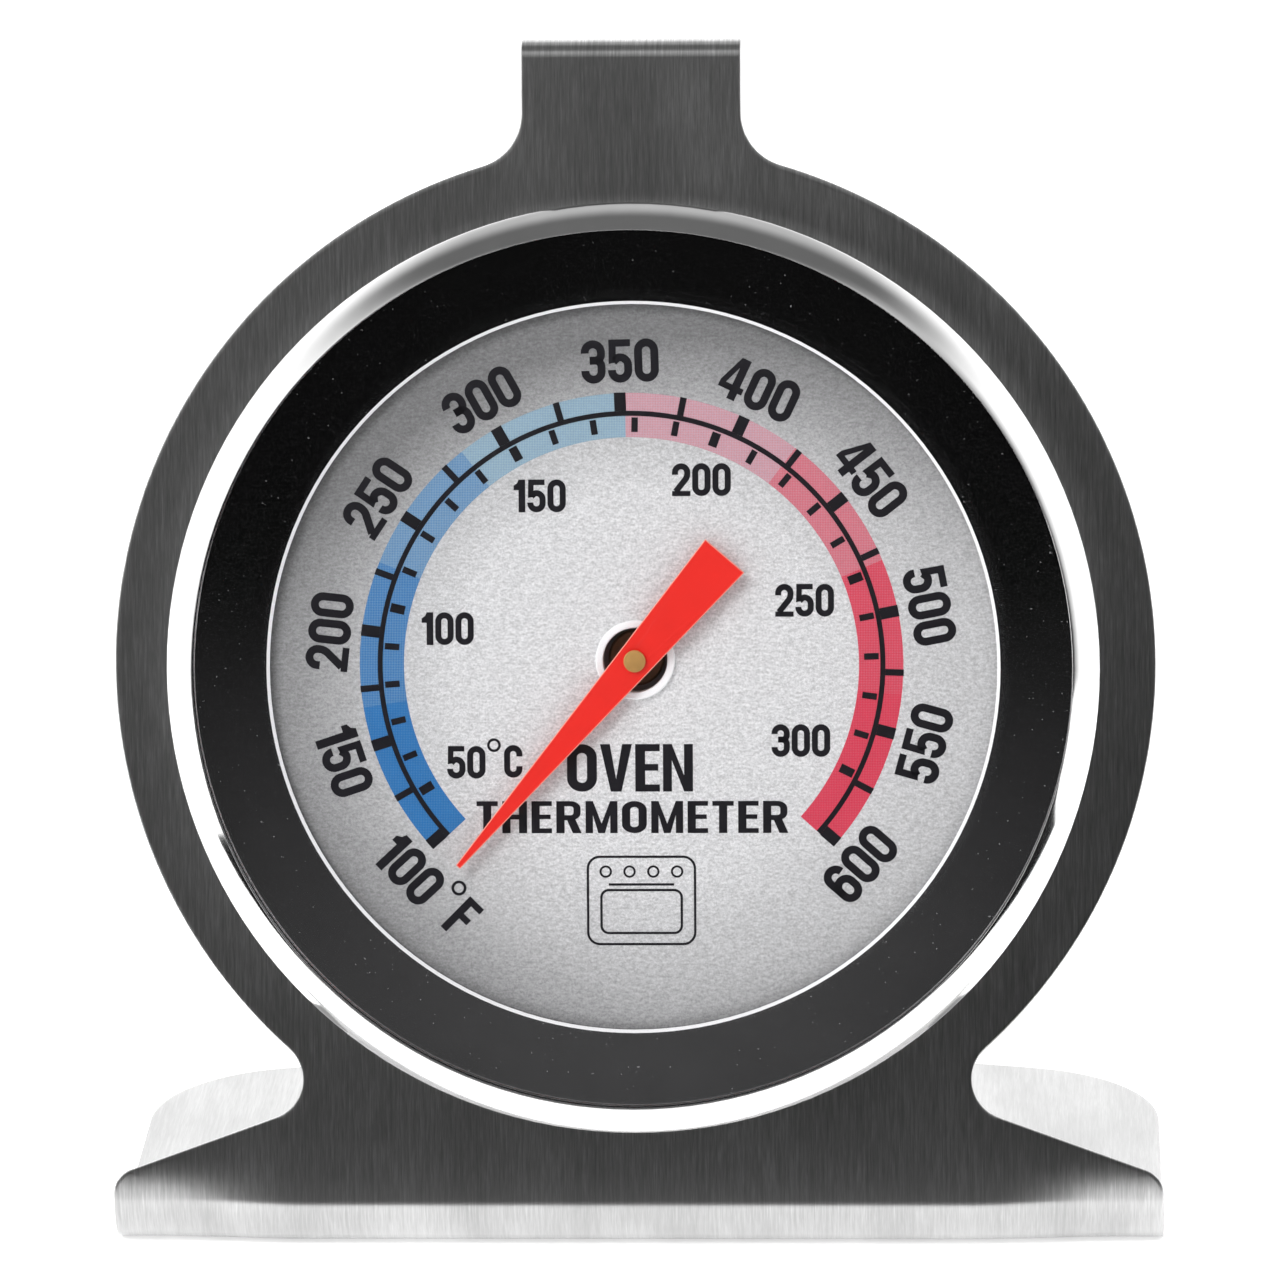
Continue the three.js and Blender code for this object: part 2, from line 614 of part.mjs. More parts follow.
function coilAnchor() {
  const top = COIL_BACK + COIL_WIDTH + 0.2;
  const outline = [
    [-ANCHOR_FACE, FOOT_SEAT],
    [-ANCHOR_FACE, top],
    [-ANCHOR_FACE - ANCHOR_SHEET, top],
    [-ANCHOR_FACE - ANCHOR_SHEET, FOOT_SEAT + ANCHOR_SHEET],
    [-ANCHOR_FOOT_END, FOOT_SEAT + ANCHOR_SHEET],
    [-ANCHOR_FOOT_END, FOOT_SEAT],
  ];
  const bracket = prismAlongX(
    shapeOf(outline.map(([y, z]) => new THREE.Vector2(y, z))),
    -ANCHOR_HALF_WIDTH,
    ANCHOR_HALF_WIDTH,
  );
  return cutFrom(bracket, [
    rod(0, ANCHOR_RIVET_Y, RIVET_HOLE_RADIUS, FOOT_SEAT - 1, FOOT_SEAT + 1),
    endRivetHole(),
  ]);
}

function pointerBlade() {
  const blade = new THREE.Shape([
    new THREE.Vector2(-POINTER_TAIL_HALF_WIDTH, -POINTER_TAIL),
    new THREE.Vector2(POINTER_TAIL_HALF_WIDTH, -POINTER_TAIL),
    new THREE.Vector2(POINTER_TIP_HALF_WIDTH, POINTER_REACH),
    new THREE.Vector2(-POINTER_TIP_HALF_WIDTH, POINTER_REACH),
  ]);
  return cutFrom(prism(blade, POINTER_BACK, POINTER_BACK + POINTER_THICKNESS), [
    rod(0, 0, SPIGOT_RADIUS + RUNNING_GAP, POINTER_BACK - 1, POINTER_BACK + 1),
  ]);
}

// The shaft: a pivot in the rear bearing, a shoulder under the pointer and a spigot riveted over it.
function pointerShaft() {
  const head = POINTER_BACK + POINTER_THICKNESS + RUNNING_GAP;
  return turned([
    [0, SHAFT_END],
    [SHAFT_RADIUS - 0.15, SHAFT_END],
    [SHAFT_RADIUS, SHAFT_END + 0.2],
    [SHAFT_RADIUS, SHAFT_SHOULDER],
    [SHAFT_SHOULDER_RADIUS, SHAFT_SHOULDER],
    [SHAFT_SHOULDER_RADIUS, SHAFT_SHOULDER + 0.3],
    [SPIGOT_RADIUS, SHAFT_SHOULDER + 0.3],
    [SPIGOT_RADIUS, head],
    [SHAFT_HEAD_RADIUS, head],
    [SHAFT_HEAD_RADIUS, head + 0.15],
    [SHAFT_HEAD_RADIUS * 0.6, head + 0.3],
    [0, head + 0.35],
  ]);
}

function washer(inner, outer, from, to) {
  return turnedRing([[inner, from], [outer, from], [outer, to], [inner, to]]);
}

// ---- Assembly ----

const thermometer = new THREE.Group();
place(thermometer, 'stand_plate', standSheet(), brushedSteel);

const dialFrame = new THREE.Group();
dialFrame.position.set(0, dialY, dialZ);
dialFrame.rotation.x = Math.PI / 2 - LEAN;
thermometer.add(dialFrame);

place(dialFrame, 'case_cup', caseCup(), drawnSteel);
place(dialFrame, 'bezel_ring', bezelRing(), polishedSteel);
place(dialFrame, 'lens', lensDisc(), glass);
place(dialFrame, 'inner_trim_ring', trimRing(), darkMirror);
place(dialFrame, 'dial_plate', dialDisc(), dialSilver);

const movementFrame = new THREE.Group();
movementFrame.position.set(MOVEMENT_ASIDE, MOVEMENT_RISE, 0);
dialFrame.add(movementFrame);

place(movementFrame, 'dial_eyelet', eyelet(), polishedSteel);
place(movementFrame, 'movement_bridge', movementBridge(), bracketSteel);
const rivetSeat = FOOT_SEAT + BRIDGE_SHEET;
place(movementFrame, 'bridge_rivet_left', floorRivet(rivetSeat), bracketSteel).position.x = -RIVET_X;
place(movementFrame, 'bridge_rivet_right', floorRivet(rivetSeat), bracketSteel).position.x = RIVET_X;
place(movementFrame, 'front_bearing', frontBearing(), brass);
place(movementFrame, 'rear_bearing', rearBearing(), brass);
place(movementFrame, 'coil_anchor', coilAnchor(), bracketSteel);
place(movementFrame, 'anchor_rivet', floorRivet(rivetSeat), bracketSteel).position.y = ANCHOR_RIVET_Y;
place(movementFrame, 'coil_end_rivet', coilEndRivet(), brass);
place(movementFrame, 'bimetal_coil', bimetalCoil(), bimetal);

const pointerFrame = new THREE.Group();
pointerFrame.rotation.z = POINTER_REST_TURN;
movementFrame.add(pointerFrame);

place(pointerFrame, 'pointer', pointerBlade(), pointerRed);
place(pointerFrame, 'pointer_shaft', pointerShaft(), brass);
const spigotBore = SPIGOT_RADIUS + RUNNING_GAP;
const pointerWasher = washer(spigotBore, WASHER_RADIUS, WASHER_BACK, WASHER_FRONT);
place(pointerFrame, 'pointer_washer', pointerWasher, brass);
const shaftBore = SHAFT_RADIUS + RUNNING_GAP;
const retainer = washer(shaftBore, RETAINER_RADIUS, RETAINER_BACK, RETAINER_FRONT);
place(pointerFrame, 'shaft_retainer', retainer, bracketSteel);
const collet = washer(shaftBore, COLLET_RADIUS, COIL_BACK - 0.2, COIL_BACK + COIL_WIDTH);
place(pointerFrame, 'coil_collet', collet, brass);

export default thermometer;
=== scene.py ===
"""The oven thermometer's looks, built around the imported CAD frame. Lengths are millimetres until a mesh is
placed."""
import json
import math

import bpy
import numpy as np
from mathutils import Matrix, Vector, geometry


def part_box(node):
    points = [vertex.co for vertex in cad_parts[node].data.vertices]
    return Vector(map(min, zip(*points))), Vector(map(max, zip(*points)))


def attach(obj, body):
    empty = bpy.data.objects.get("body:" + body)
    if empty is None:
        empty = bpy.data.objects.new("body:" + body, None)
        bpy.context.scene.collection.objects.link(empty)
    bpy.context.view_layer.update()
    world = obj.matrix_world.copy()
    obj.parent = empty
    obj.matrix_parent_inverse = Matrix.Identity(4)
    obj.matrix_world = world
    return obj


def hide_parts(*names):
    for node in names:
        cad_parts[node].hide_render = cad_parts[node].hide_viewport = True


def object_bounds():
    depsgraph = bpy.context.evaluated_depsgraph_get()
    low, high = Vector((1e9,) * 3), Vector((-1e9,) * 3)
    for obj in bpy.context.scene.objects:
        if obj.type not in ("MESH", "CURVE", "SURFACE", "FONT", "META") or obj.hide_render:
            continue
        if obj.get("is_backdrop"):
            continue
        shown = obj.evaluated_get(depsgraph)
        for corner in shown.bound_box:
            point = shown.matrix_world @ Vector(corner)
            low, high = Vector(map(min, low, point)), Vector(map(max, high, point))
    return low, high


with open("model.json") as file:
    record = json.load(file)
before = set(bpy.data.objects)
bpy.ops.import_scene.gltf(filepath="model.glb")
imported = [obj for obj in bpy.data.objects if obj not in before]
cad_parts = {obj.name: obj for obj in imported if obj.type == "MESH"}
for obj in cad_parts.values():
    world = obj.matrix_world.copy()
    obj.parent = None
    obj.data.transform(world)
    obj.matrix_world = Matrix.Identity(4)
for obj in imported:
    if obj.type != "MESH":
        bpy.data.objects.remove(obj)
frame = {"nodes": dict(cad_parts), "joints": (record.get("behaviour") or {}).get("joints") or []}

CAD_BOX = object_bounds()
MM = 0.001
FIXED = "stand_and_case"
MOVING = "pointer_assembly"

# The dial's own frame: x to the right, y up the sheet, z out of its front face, from the case's middle. The
# movement's frame has the same directions and starts at the pointer's axis, a little up and to the right.
JOINT = frame["joints"][0]
MOVEMENT_ASIDE = 0.14
MOVEMENT_RISE = 0.5
OUT = -Vector(JOINT["axis"]).normalized()
RIGHT = Vector((1, 0, 0))
UP = OUT.cross(RIGHT)
LEAN = math.asin(OUT.z)
PIVOT = Vector(JOINT["pos_m"])
MIDDLE = PIVOT - (RIGHT * MOVEMENT_ASIDE + UP * MOVEMENT_RISE) * MM
TURN = Matrix((RIGHT, UP, OUT)).transposed().to_4x4() @ Matrix.Scale(MM, 4)
DIAL = Matrix.Translation(MIDDLE) @ TURN
MOVEMENT = Matrix.Translation(PIVOT) @ TURN

# Stand sheet
STAND_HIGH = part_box("stand_plate")[1]
SHEET = 0.5
HALF_WIDTH = STAND_HIGH.x / MM
BEND_Y = -18.15
BASE_DEPTH = 36.3
BASE_CORNER = 11.0
BASE_BACK_RADIUS = 110.0
FOOT_BEND = 3.0
FOOT_TO_DIAL = 36.3
RING_RADIUS = 35.0
RING_HOLE = 28.3
NECK_HALF_WIDTH = 22.6
NECK_FILLET = 2.8
FLARE = math.radians(19.9)
FOOT_CORNER = 1.8
HOOK_HALF_WIDTH = 7.35
HOOK_TIP_HALF_WIDTH = 6.85
HOOK_FILLET = 3.7
HOOK_HEIGHT = 41.97
HOOK_DEPTH = 9.0
HOOK_LIP = 6.5
HOOK_BEND = 1.2
HOOK_LIP_CORNER = 1.0
EDGE_ROUND = 0.09
SHEET_BORDER = 0.2
END_CURL = 0.6
END_CURL_LOW = -3.6
END_CURL_HIGH = 3.2
END_CURL_START = 22
END_CURL_SPAN = 11

# Dial and scale
DIAL_FRONT = 1.25
DIAL_RADIUS = 29.6
DIAL_SHEET = 0.3
DIAL_HOLE = 2.3
DIAL_IN_VIEW = 25
PRINT_SHIFT = Vector((-0.14, 0.17))
BAND_OUTER = 18.24
BAND_INNER = 15.27
ARC_LINE = 16.87
ARC_LINE_HALF = 0.17
INK = 0.012


# ---------------------------------------------------------------- geometry helpers

def arc(cx, cy, radius, start, end, step=math.radians(3)):
    """Points of an arc, in order, with both ends."""
    count = max(2, math.ceil(abs(end - start) / step))
    angles = [start + (end - start) * i / count for i in range(count + 1)]
    return [Vector((cx + radius * math.cos(a), cy + radius * math.sin(a))) for a in angles]


def circle(cx, cy, radius, step=math.radians(15)):
    """Points of a whole circle, anticlockwise, without the first one again at the end."""
    return arc(cx, cy, radius, 0, 2 * math.pi, step)[:-1]


def distinct(points, gap=1e-4):
    kept = []
    for point in points:
        if not kept or (point - kept[-1]).length > gap:
            kept.append(point)
    if (kept[0] - kept[-1]).length < gap:
        kept.pop()
    return kept


def filleted(corners, closed=True, step=math.radians(15)):
    """A path through (x, y, radius) corners, with each corner rounded to its radius."""
    count = len(corners)
    path = []
    for i, (x, y, radius) in enumerate(corners):
        here = Vector((x, y))
        if radius == 0 or (not closed and i in (0, count - 1)):
            path.append(here)
            continue
        before = Vector(corners[i - 1][:2]) - here
        after = Vector(corners[(i + 1) % count][:2]) - here
        before.normalize()
        after.normalize()
        half = before.angle(after) / 2
        if half > math.pi / 2 - 0.01:
            path.append(here)
            continue
        reach = radius / math.tan(half)
        first = here + before * reach
        last = here + after * reach
        centre = here + (before + after).normalized() * (radius / math.sin(half))
        turn = (first - centre).angle_signed(last - centre)
        steps = max(2, math.ceil(abs(turn) / step))
        for k in range(steps + 1):
            spoke = (first - centre).copy()
            spoke.rotate(Matrix.Rotation(-turn * k / steps, 2))
            path.append(centre + spoke)
    return path


def make_piece(name, vertices, faces, body, material, replaces=(), place=DIAL, sharp=35,
               face_materials=None):
    """A smooth-shaded mesh in the row frame that rides on a body."""
    mesh = bpy.data.meshes.new(name)
    mesh.from_pydata([place @ Vector(v) for v in vertices], [], faces)
    mesh.validate()
    piece = bpy.data.objects.new(name, mesh)
    bpy.context.scene.collection.objects.link(piece)
    for entry in material if isinstance(material, list) else [material]:
        mesh.materials.append(entry)
    if face_materials:
        mesh.polygons.foreach_set("material_index", face_materials)
    mesh.shade_smooth()
    mesh.set_sharp_from_angle(angle=math.radians(sharp))
    weighted = piece.modifiers.new("weighted_normals", "WEIGHTED_NORMAL")
    weighted.keep_sharp = True
    weighted.weight = 100
    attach(piece, body)
    if replaces:
        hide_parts(*replaces)
    return piece


def revolve(path, segments, closed=True):
    """Vertices and faces of a path of (radius, height) turned about the z axis, with material on its left."""
    vertices = []
    rings = []
    for radius, height in path:
        if radius < 1e-6:
            rings.append([len(vertices)])
            vertices.append((0, 0, height))
            continue
        rings.append(list(range(len(vertices), len(vertices) + segments)))
        for k in range(segments):
            angle = 2 * math.pi * k / segments
            vertices.append((radius * math.cos(angle), radius * math.sin(angle), height))
    faces = []
    pairs = list(zip(rings, rings[1:] + rings[:1])) if closed else list(zip(rings, rings[1:]))
    for lower, upper in pairs:
        for k in range(segments):
            n = (k + 1) % segments
            if len(lower) == 1 and len(upper) == 1:
                continue
            if len(lower) == 1:
                faces.append((lower[0], upper[n], upper[k]))
            elif len(upper) == 1:
                faces.append((lower[k], lower[n], upper[0]))
            else:
                faces.append((lower[k], lower[n], upper[n], upper[k]))
    return vertices, faces


def lathe(name, corners, segments, body, material, node, place=DIAL, closed=True):
    """A piece turned from a path of (radius, height, fillet) corners. It stands in for one CAD node."""
    vertices, faces = revolve(filleted(corners, closed), segments, closed)
    make_piece(name, vertices, faces, body, material, [node], place)


def inside(point, loop):
    """Whether a point is inside a closed polygon."""
    hit = False
    for a, b in zip(loop, loop[1:] + loop[:1]):
        if (a.y > point.y) != (b.y > point.y):
            if point.x < (b.x - a.x) * (point.y - a.y) / (b.y - a.y) + a.x:
                hit = not hit
    return hit


def fill(loops, lines=()):
    """Triangles over the area inside the first loop and outside the others: points, and triples of their
    indices. The loops' own points come first, in order."""
    points = [p for loop in loops for p in loop]
    edges = []
    start = 0
    for loop in loops:
        count = len(loop)
        edges += [(start + i, start + (i + 1) % count) for i in range(count)]
        start += count
    own = len(points)
    for line in lines:
        first = len(points)
        points += line
        edges += [(first + i, first + i + 1) for i in range(len(line) - 1)]
    result = geometry.delaunay_2d_cdt(points, edges, [], 0, 1e-5, True)
    index = {}
    kept = points[:own]
    for i, sources in enumerate(result[3]):
        loop_sources = [s for s in sources if s < own]
        if loop_sources:
            index[i] = loop_sources[0]
        else:
            index[i] = len(kept)
            kept.append(Vector(result[0][i]))
    triangles = []
    for face in result[2]:
        middle = sum((Vector(result[0][i]) for i in face), Vector((0, 0))) / 3
        if inside(middle, loops[0]) and not any(inside(middle, hole) for hole in loops[1:]):
            triangles.append(tuple(index[i] for i in face))
    return kept, triangles


def loop_normals(loop):
    """At each point of a loop, the mean of its two sides' normals to the right of its direction."""
    normals = []
    for i, point in enumerate(loop):
        before = (point - loop[i - 1]).normalized()
        after = (loop[(i + 1) % len(loop)] - point).normalized()
        mean = (before + after).normalized()
        normals.append(Vector((mean.y, -mean.x)) / max(0.5, mean.dot(after)))
    return normals


def sheet_part(loops, lines, thickness, edge, place, border=0.0):
    """A sheet with rounded edges and a narrow border inside them. The loops are drawn flat, the outer one
    anticlockwise and the holes clockwise; place(x, y, depth) says where a flat point lies, at a depth below
    the front."""
    quarter = [math.radians(a) for a in (0, 30, 60, 90)]
    profile = [(edge * (1 - math.sin(a)), edge * (1 - math.cos(a))) for a in quarter]
    profile = ([(edge + border, 0)] if border else []) + profile
    profile += [(inset, thickness - depth) for inset, depth in reversed(profile)]
    vertices = []
    flat = []
    faces = []
    insets = []
    starts = []
    for loop in loops:
        normals = loop_normals(loop)
        starts.append(len(vertices))
        count = len(loop)
        for inset, depth in profile:
            for point, normal in zip(loop, normals):
                moved = point - normal * inset
                vertices.append(place(moved.x, moved.y, depth))
                flat.append((moved.x, moved.y, depth))
        for ring in range(len(profile) - 1):
            low = starts[-1] + ring * count
            for i in range(count):
                n = (i + 1) % count
                faces.append((low + i, low + count + i, low + count + n, low + n))
        insets.append([point - normal * (edge + border) for point, normal in zip(loop, normals)])
    points, triangles = fill(insets, lines)
    last = len(profile) - 1
    front = []
    back = []
    for loop, start in zip(loops, starts):
        front += range(start, start + len(loop))
        back += range(start + last * len(loop), start + (last + 1) * len(loop))
    for point in points[len(front):]:
        for ids, depth in ((front, 0), (back, thickness)):
            ids.append(len(vertices))
            vertices.append(place(point.x, point.y, depth))
            flat.append((point.x, point.y, depth))
    for a, b, c in triangles:
        if (points[b] - points[a]).cross(points[c] - points[a]) < 0:
            b, c = c, b
        faces.append((front[a], front[b], front[c]))
        faces.append((back[a], back[c], back[b]))
    return vertices, faces, flat


def set_flat(piece, flat):
    """Keeps each vertex's place on the flat sheet, for the direction of its brushing."""
    layer = piece.data.attributes.new("flat", "FLOAT_VECTOR", "POINT")
    layer.data.foreach_set("vector", np.array(flat, np.float32).ravel())


# ---------------------------------------------------------------- material helpers

def feed(tree, value, socket):
    """Links a socket to another node's output, or gives it a plain value."""
    if hasattr(value, "is_linked"):
        tree.links.new(value, socket)
    else:
        socket.default_value = value


def math_node(tree, operation, a, b=0.0):
    node = tree.nodes.new("ShaderNodeMath")
    node.operation = operation
    feed(tree, a, node.inputs[0])
    feed(tree, b, node.inputs[1])
    return node.outputs[0]


class Shader:
    """A node material being put together around one Principled shader. In the names of sockets that are given
    as keywords, an underscore stands for a space."""

    def __init__(self, name, **constants):
        self.material = bpy.data.materials.new(name)
        self.material.use_nodes = True
        self.tree = self.material.node_tree
        self.nodes = self.tree.nodes
        self.surface = self.nodes["Principled BSDF"]
        for socket, value in constants.items():
            self.surface.inputs[socket.replace("_", " ")].default_value = value

    def link(self, source, target):
        self.tree.links.new(source, target)

    def node(self, kind, **inputs):
        node = self.nodes.new(kind)
        for key, value in inputs.items():
            feed(self.tree, value, node.inputs[key.replace("_", " ")])
        return node

    def math(self, operation, a, b=0.0):
        return math_node(self.tree, operation, a, b)

    def vector_math(self, operation, vector):
        node = self.nodes.new("ShaderNodeVectorMath")
        node.operation = operation
        feed(self.tree, vector, node.inputs[0])
        return node

    def dial_place(self):
        """The surface point in the dial's frame, in millimetres."""
        turn = Matrix((RIGHT, UP, OUT))
        mapping = self.nodes.new("ShaderNodeMapping")
        mapping.inputs["Scale"].default_value = (1 / MM,) * 3
        mapping.inputs["Rotation"].default_value = turn.to_euler()
        mapping.inputs["Location"].default_value = -(turn @ MIDDLE) / MM
        self.link(self.nodes.new("ShaderNodeTexCoord").outputs["Object"], mapping.inputs["Vector"])
        return mapping.outputs["Vector"]

    def flat_place(self):
        """The surface point on the flat sheet before bending, in millimetres."""
        attribute = self.nodes.new("ShaderNodeAttribute")
        attribute.attribute_name = "flat"
        return attribute.outputs["Vector"]

    def scaled(self, vector, scale):
        node = self.vector_math("MULTIPLY", vector)
        node.inputs[1].default_value = scale
        return node.outputs[0]

    def radius(self, vector):
        return self.vector_math("LENGTH", self.scaled(vector, (1, 1, 0))).outputs["Value"]

    def noise(self, vector, scale=1.0, detail=2.0, roughness=0.5):
        inputs = {"Vector": vector, "Scale": scale, "Detail": detail, "Roughness": roughness}
        return self.node("ShaderNodeTexNoise", **inputs).outputs["Fac"]

    def turning_marks(self, place, density):
        """Noise that changes only with the distance from the dial's axis."""
        across = self.math("MULTIPLY", self.radius(place), density)
        return self.noise(self.node("ShaderNodeCombineXYZ", X=across).outputs[0], 1.0, 3.0)

    def spread(self, value, low, high, from_low=0.0, from_high=1.0):
        limits = {"From_Min": from_low, "From_Max": from_high, "To_Min": low, "To_Max": high}
        return self.node("ShaderNodeMapRange", Value=value, **limits).outputs["Result"]

    def blended(self, a, b, share):
        """A share of one value and the rest of another."""
        return self.math("ADD", self.math("MULTIPLY", a, share), self.math("MULTIPLY", b, 1 - share))

    def ramp(self, value, stops):
        node = self.nodes.new("ShaderNodeValToRGB")
        self.link(value, node.inputs["Fac"])
        elements = node.color_ramp.elements
        while len(elements) < len(stops):
            elements.new(0.5)
        for element, (position, colour) in zip(elements, stops):
            element.position = position
            element.color = (*colour, 1)
        return node.outputs["Color"]

    def tint(self, colour, value, low, high):
        """A colour multiplied by a value spread between low and high."""
        node = self.vector_math("SCALE", colour)
        self.link(self.spread(value, low, high), node.inputs["Scale"])
        return node.outputs[0]

    def bump(self, height, strength, depth):
        """A bump of a depth in millimetres, over any bump that is there already."""
        node = self.node("ShaderNodeBump", Height=height, Strength=strength, Distance=depth * MM)
        if self.surface.inputs["Normal"].is_linked:
            self.link(self.surface.inputs["Normal"].links[0].from_socket, node.inputs["Normal"])
        self.link(node.outputs["Normal"], self.surface.inputs["Normal"])

    def set(self, socket, value):
        self.link(value, self.surface.inputs[socket])

    def finish(self, colour, roughness, *bumps):
        """The material, once it has its colour, its roughness and its bumps of (height, strength, depth)."""
        self.set("Base Color", colour)
        self.set("Roughness", roughness)
        for height, strength, depth in bumps:
            self.bump(height, strength, depth)
        return self.material


def grey(value):
    return (value, value, value)


def srgb(red, green, blue):
    """A colour of 0 to 255 channels as linear values."""
    channels = [c / 255 for c in (red, green, blue)]
    return tuple(((c + 0.055) / 1.055) ** 2.4 if c > 10 / 255 else c / 12.92 for c in channels)


def brushed_sheet():
    """Stainless sheet brushed along its length: fine streaks in colour, roughness and height, and a gloss
    across the streaks. The base and the foot's bend are brushed more evenly than the face."""
    shader = Shader("brushed_sheet", Metallic=1.0, Anisotropic=0.75, Anisotropic_Rotation=0.25)
    tangent = shader.nodes.new("ShaderNodeTangent")
    tangent.direction_type = "RADIAL"
    tangent.axis = "X"
    shader.set("Tangent", tangent.outputs[0])
    place = shader.flat_place()
    fine = shader.noise(shader.scaled(place, (5.5, 0.22, 1)), 1.0, 3.0, 0.65)
    hair = shader.noise(shader.scaled(place, (15, 0.7, 1)), 1.0, 2.0, 0.6)
    cloud = shader.noise(shader.scaled(place, (0.16, 0.05, 1)), 1.0, 3.0)
    streaks = shader.blended(fine, hair, 0.6)
    even_level, base_swing = 0.54, 0.3
    along = shader.node("ShaderNodeSeparateXYZ", Vector=place).outputs["Y"]
    swing = shader.spread(along, base_swing, 1.0, BASE_DEPTH + FOOT_BEND, BASE_DEPTH + 2.5 * FOOT_BEND)
    swing = shader.math("MULTIPLY", shader.math("SUBTRACT", streaks, even_level), swing)
    streaks = shader.math("ADD", even_level, swing)
    tone = shader.blended(streaks, cloud, 0.75)
    colour = shader.ramp(tone, [(0.36, grey(0.32)), (0.5, grey(0.48)), (0.64, grey(0.72))])
    return shader.finish(colour, shader.spread(tone, 0.31, 0.28, 0.35, 0.65), (streaks, 0.2, 0.02))


def turned_ring(name, tones, roughness, metallic=1.0):
    """Bright steel with faint turning marks round the dial's axis. A near-white, nearly non-metallic copy
    also serves as a painted highlight.
    """
    shader = Shader(name, Metallic=metallic)
    place = shader.dial_place()
    marks = shader.turning_marks(place, 14)
    cloud = shader.noise(place, 0.3, 3.0)
    colour = shader.tint(grey(1.0), cloud, *tones)
    return shader.finish(colour, shader.spread(cloud, *roughness), (marks, 0.05, 0.01))


def dark_mirror():
    """The sloping ring under the window: a dark mirror with fine turning marks and a little dust."""
    shader = Shader("dark_mirror", Metallic=1.0)
    place = shader.dial_place()
    marks = shader.turning_marks(place, 9)
    cloud = shader.noise(place, 0.25, 3.0)
    dust = shader.noise(place, 7.0, 2.0, 0.7)
    specks = shader.noise(place, 5.0, 1.0, 0.5)
    shader.set("Metallic", shader.spread(specks, 1.0, 0.55, 0.74, 0.8))
    colour = shader.tint(grey(1.0), cloud, 0.41, 0.52)
    return shader.finish(colour, shader.spread(dust, 0.06, 0.24, 0.4, 0.8), (marks, 0.04, 0.01))


def drawn_steel():
    """The case: satin drawn stainless with faint draw lines."""
    shader = Shader("drawn_steel", Metallic=1.0)
    place = shader.dial_place()
    lines = shader.turning_marks(place, 5)
    cloud = shader.noise(place, 0.2, 4.0)
    grain = shader.noise(place, 9.0, 2.0, 0.6)
    colour = shader.tint(grey(1.0), shader.blended(lines, cloud, 0.5), 0.5, 0.72)
    roughness = shader.spread(grain, 0.24, 0.4, 0.3, 0.7)
    return shader.finish(colour, roughness, (lines, 0.08, 0.03), (grain, 0.05, 0.01))


def grained(name, metallic, colour, tones, cloud_scale, grain, gloss, bump):
    """A finish with a clouded colour and a fine grain. The grain is its noise's scale, detail and roughness.
    The gloss is the range of the surface's roughness, and the bump is a strength and a depth."""
    shader = Shader(name, Metallic=metallic)
    place = shader.dial_place()
    fine = shader.noise(place, *grain)
    cloud = shader.noise(place, cloud_scale, 3.0)
    colour = shader.tint(colour, cloud, *tones)
    return shader.finish(colour, shader.spread(fine, *gloss, 0.3, 0.7), (fine, *bump))


def turned_brass(name, tone):
    """Brass with fine pits and slight tarnish."""
    return grained(name, 0.5, tone, (0.75, 1.15), 1.6, (7.0, 3.0, 0.6), (0.28, 0.5), (0.2, 0.03))


def pointer_paint(name, colour):
    """Satin paint with a fine orange peel. A pale copy serves as the painted highlight on the pointer's
    edges.
    """
    return grained(name, 0.0, colour, (0.94, 1.06), 0.6, (5.0, 2.0, 0.6), (0.38, 0.52), (0.12, 0.03))


def clear_glass():
    """Thin clear glass: see-through, with a reflection that grows as the glass is seen at a flatter angle."""
    shader = Shader("clear_glass")
    nodes = shader.nodes
    nodes.remove(shader.surface)
    clear = shader.node("ShaderNodeBsdfTransparent", Color=(0.96, 0.96, 0.965, 1))
    smudge = shader.noise(shader.dial_place(), 0.35, 4.0, 0.6)
    gloss = shader.node("ShaderNodeBsdfGlossy", Roughness=shader.spread(smudge, 0.01, 0.05, 0.45, 0.75))
    facing = shader.node("ShaderNodeLayerWeight", Blend=0.5).outputs["Facing"]
    sheen = shader.math("ADD", shader.math("MULTIPLY", shader.math("POWER", facing, 5), 0.9), 0.02)
    mix = shader.node("ShaderNodeMixShader", Fac=sheen)
    shader.link(clear.outputs[0], mix.inputs[1])
    shader.link(gloss.outputs[0], mix.inputs[2])
    shader.link(mix.outputs[0], nodes["Material Output"].inputs["Surface"])
    return shader.material


def dial_silver():
    """The dial: fine-grained silver with painted shade that darkens it towards its rim, a little more to the
    upper left.
    """
    shader = Shader("dial_silver", Metallic=0.25)
    place = shader.dial_place()
    radius = shader.radius(place)
    grain = shader.noise(place, 6.5, 2.0, 0.7)
    weave = shader.noise(shader.scaled(place, (1, 2, 1)), 2.6, 2.0, 0.6)
    speck = shader.blended(grain, weave, 0.55)
    x, y, _ = shader.node("ShaderNodeSeparateXYZ", Vector=place).outputs
    # Painted shade: the dial's grey darkens towards its rim, more to the upper left and less at its left and
    # right sides.
    shade_lean = shader.math("MULTIPLY", shader.math("SUBTRACT", y, x), 0.07)
    reach = shader.math("DIVIDE", radius, DIAL_IN_VIEW)
    reach = shader.math("ADD", reach, shader.math("MULTIPLY", shade_lean, shader.math("DIVIDE", radius, 300)))
    shade_relief_at_sides = shader.math("POWER", shader.math("ABSOLUTE", shader.math("DIVIDE", x, DIAL_IN_VIEW)), 4)
    reach = shader.math("SUBTRACT", reach, shader.math("MULTIPLY", shade_relief_at_sides, 0.2))
    # rim is the painted shade's grey at each distance from the middle.
    rim = shader.ramp(reach, [
        (0.0, grey(0.84)), (0.5, grey(0.80)), (0.7, grey(0.62)), (0.84, grey(0.42)), (1.0, grey(0.24)),
    ])
    colour = shader.tint(rim, shader.spread(speck, 0.0, 1.0, 0.36, 0.64), 0.74, 1.24)
    return shader.finish(colour, shader.spread(grain, 0.42, 0.6, 0.3, 0.7), (speck, 0.25, 0.03))


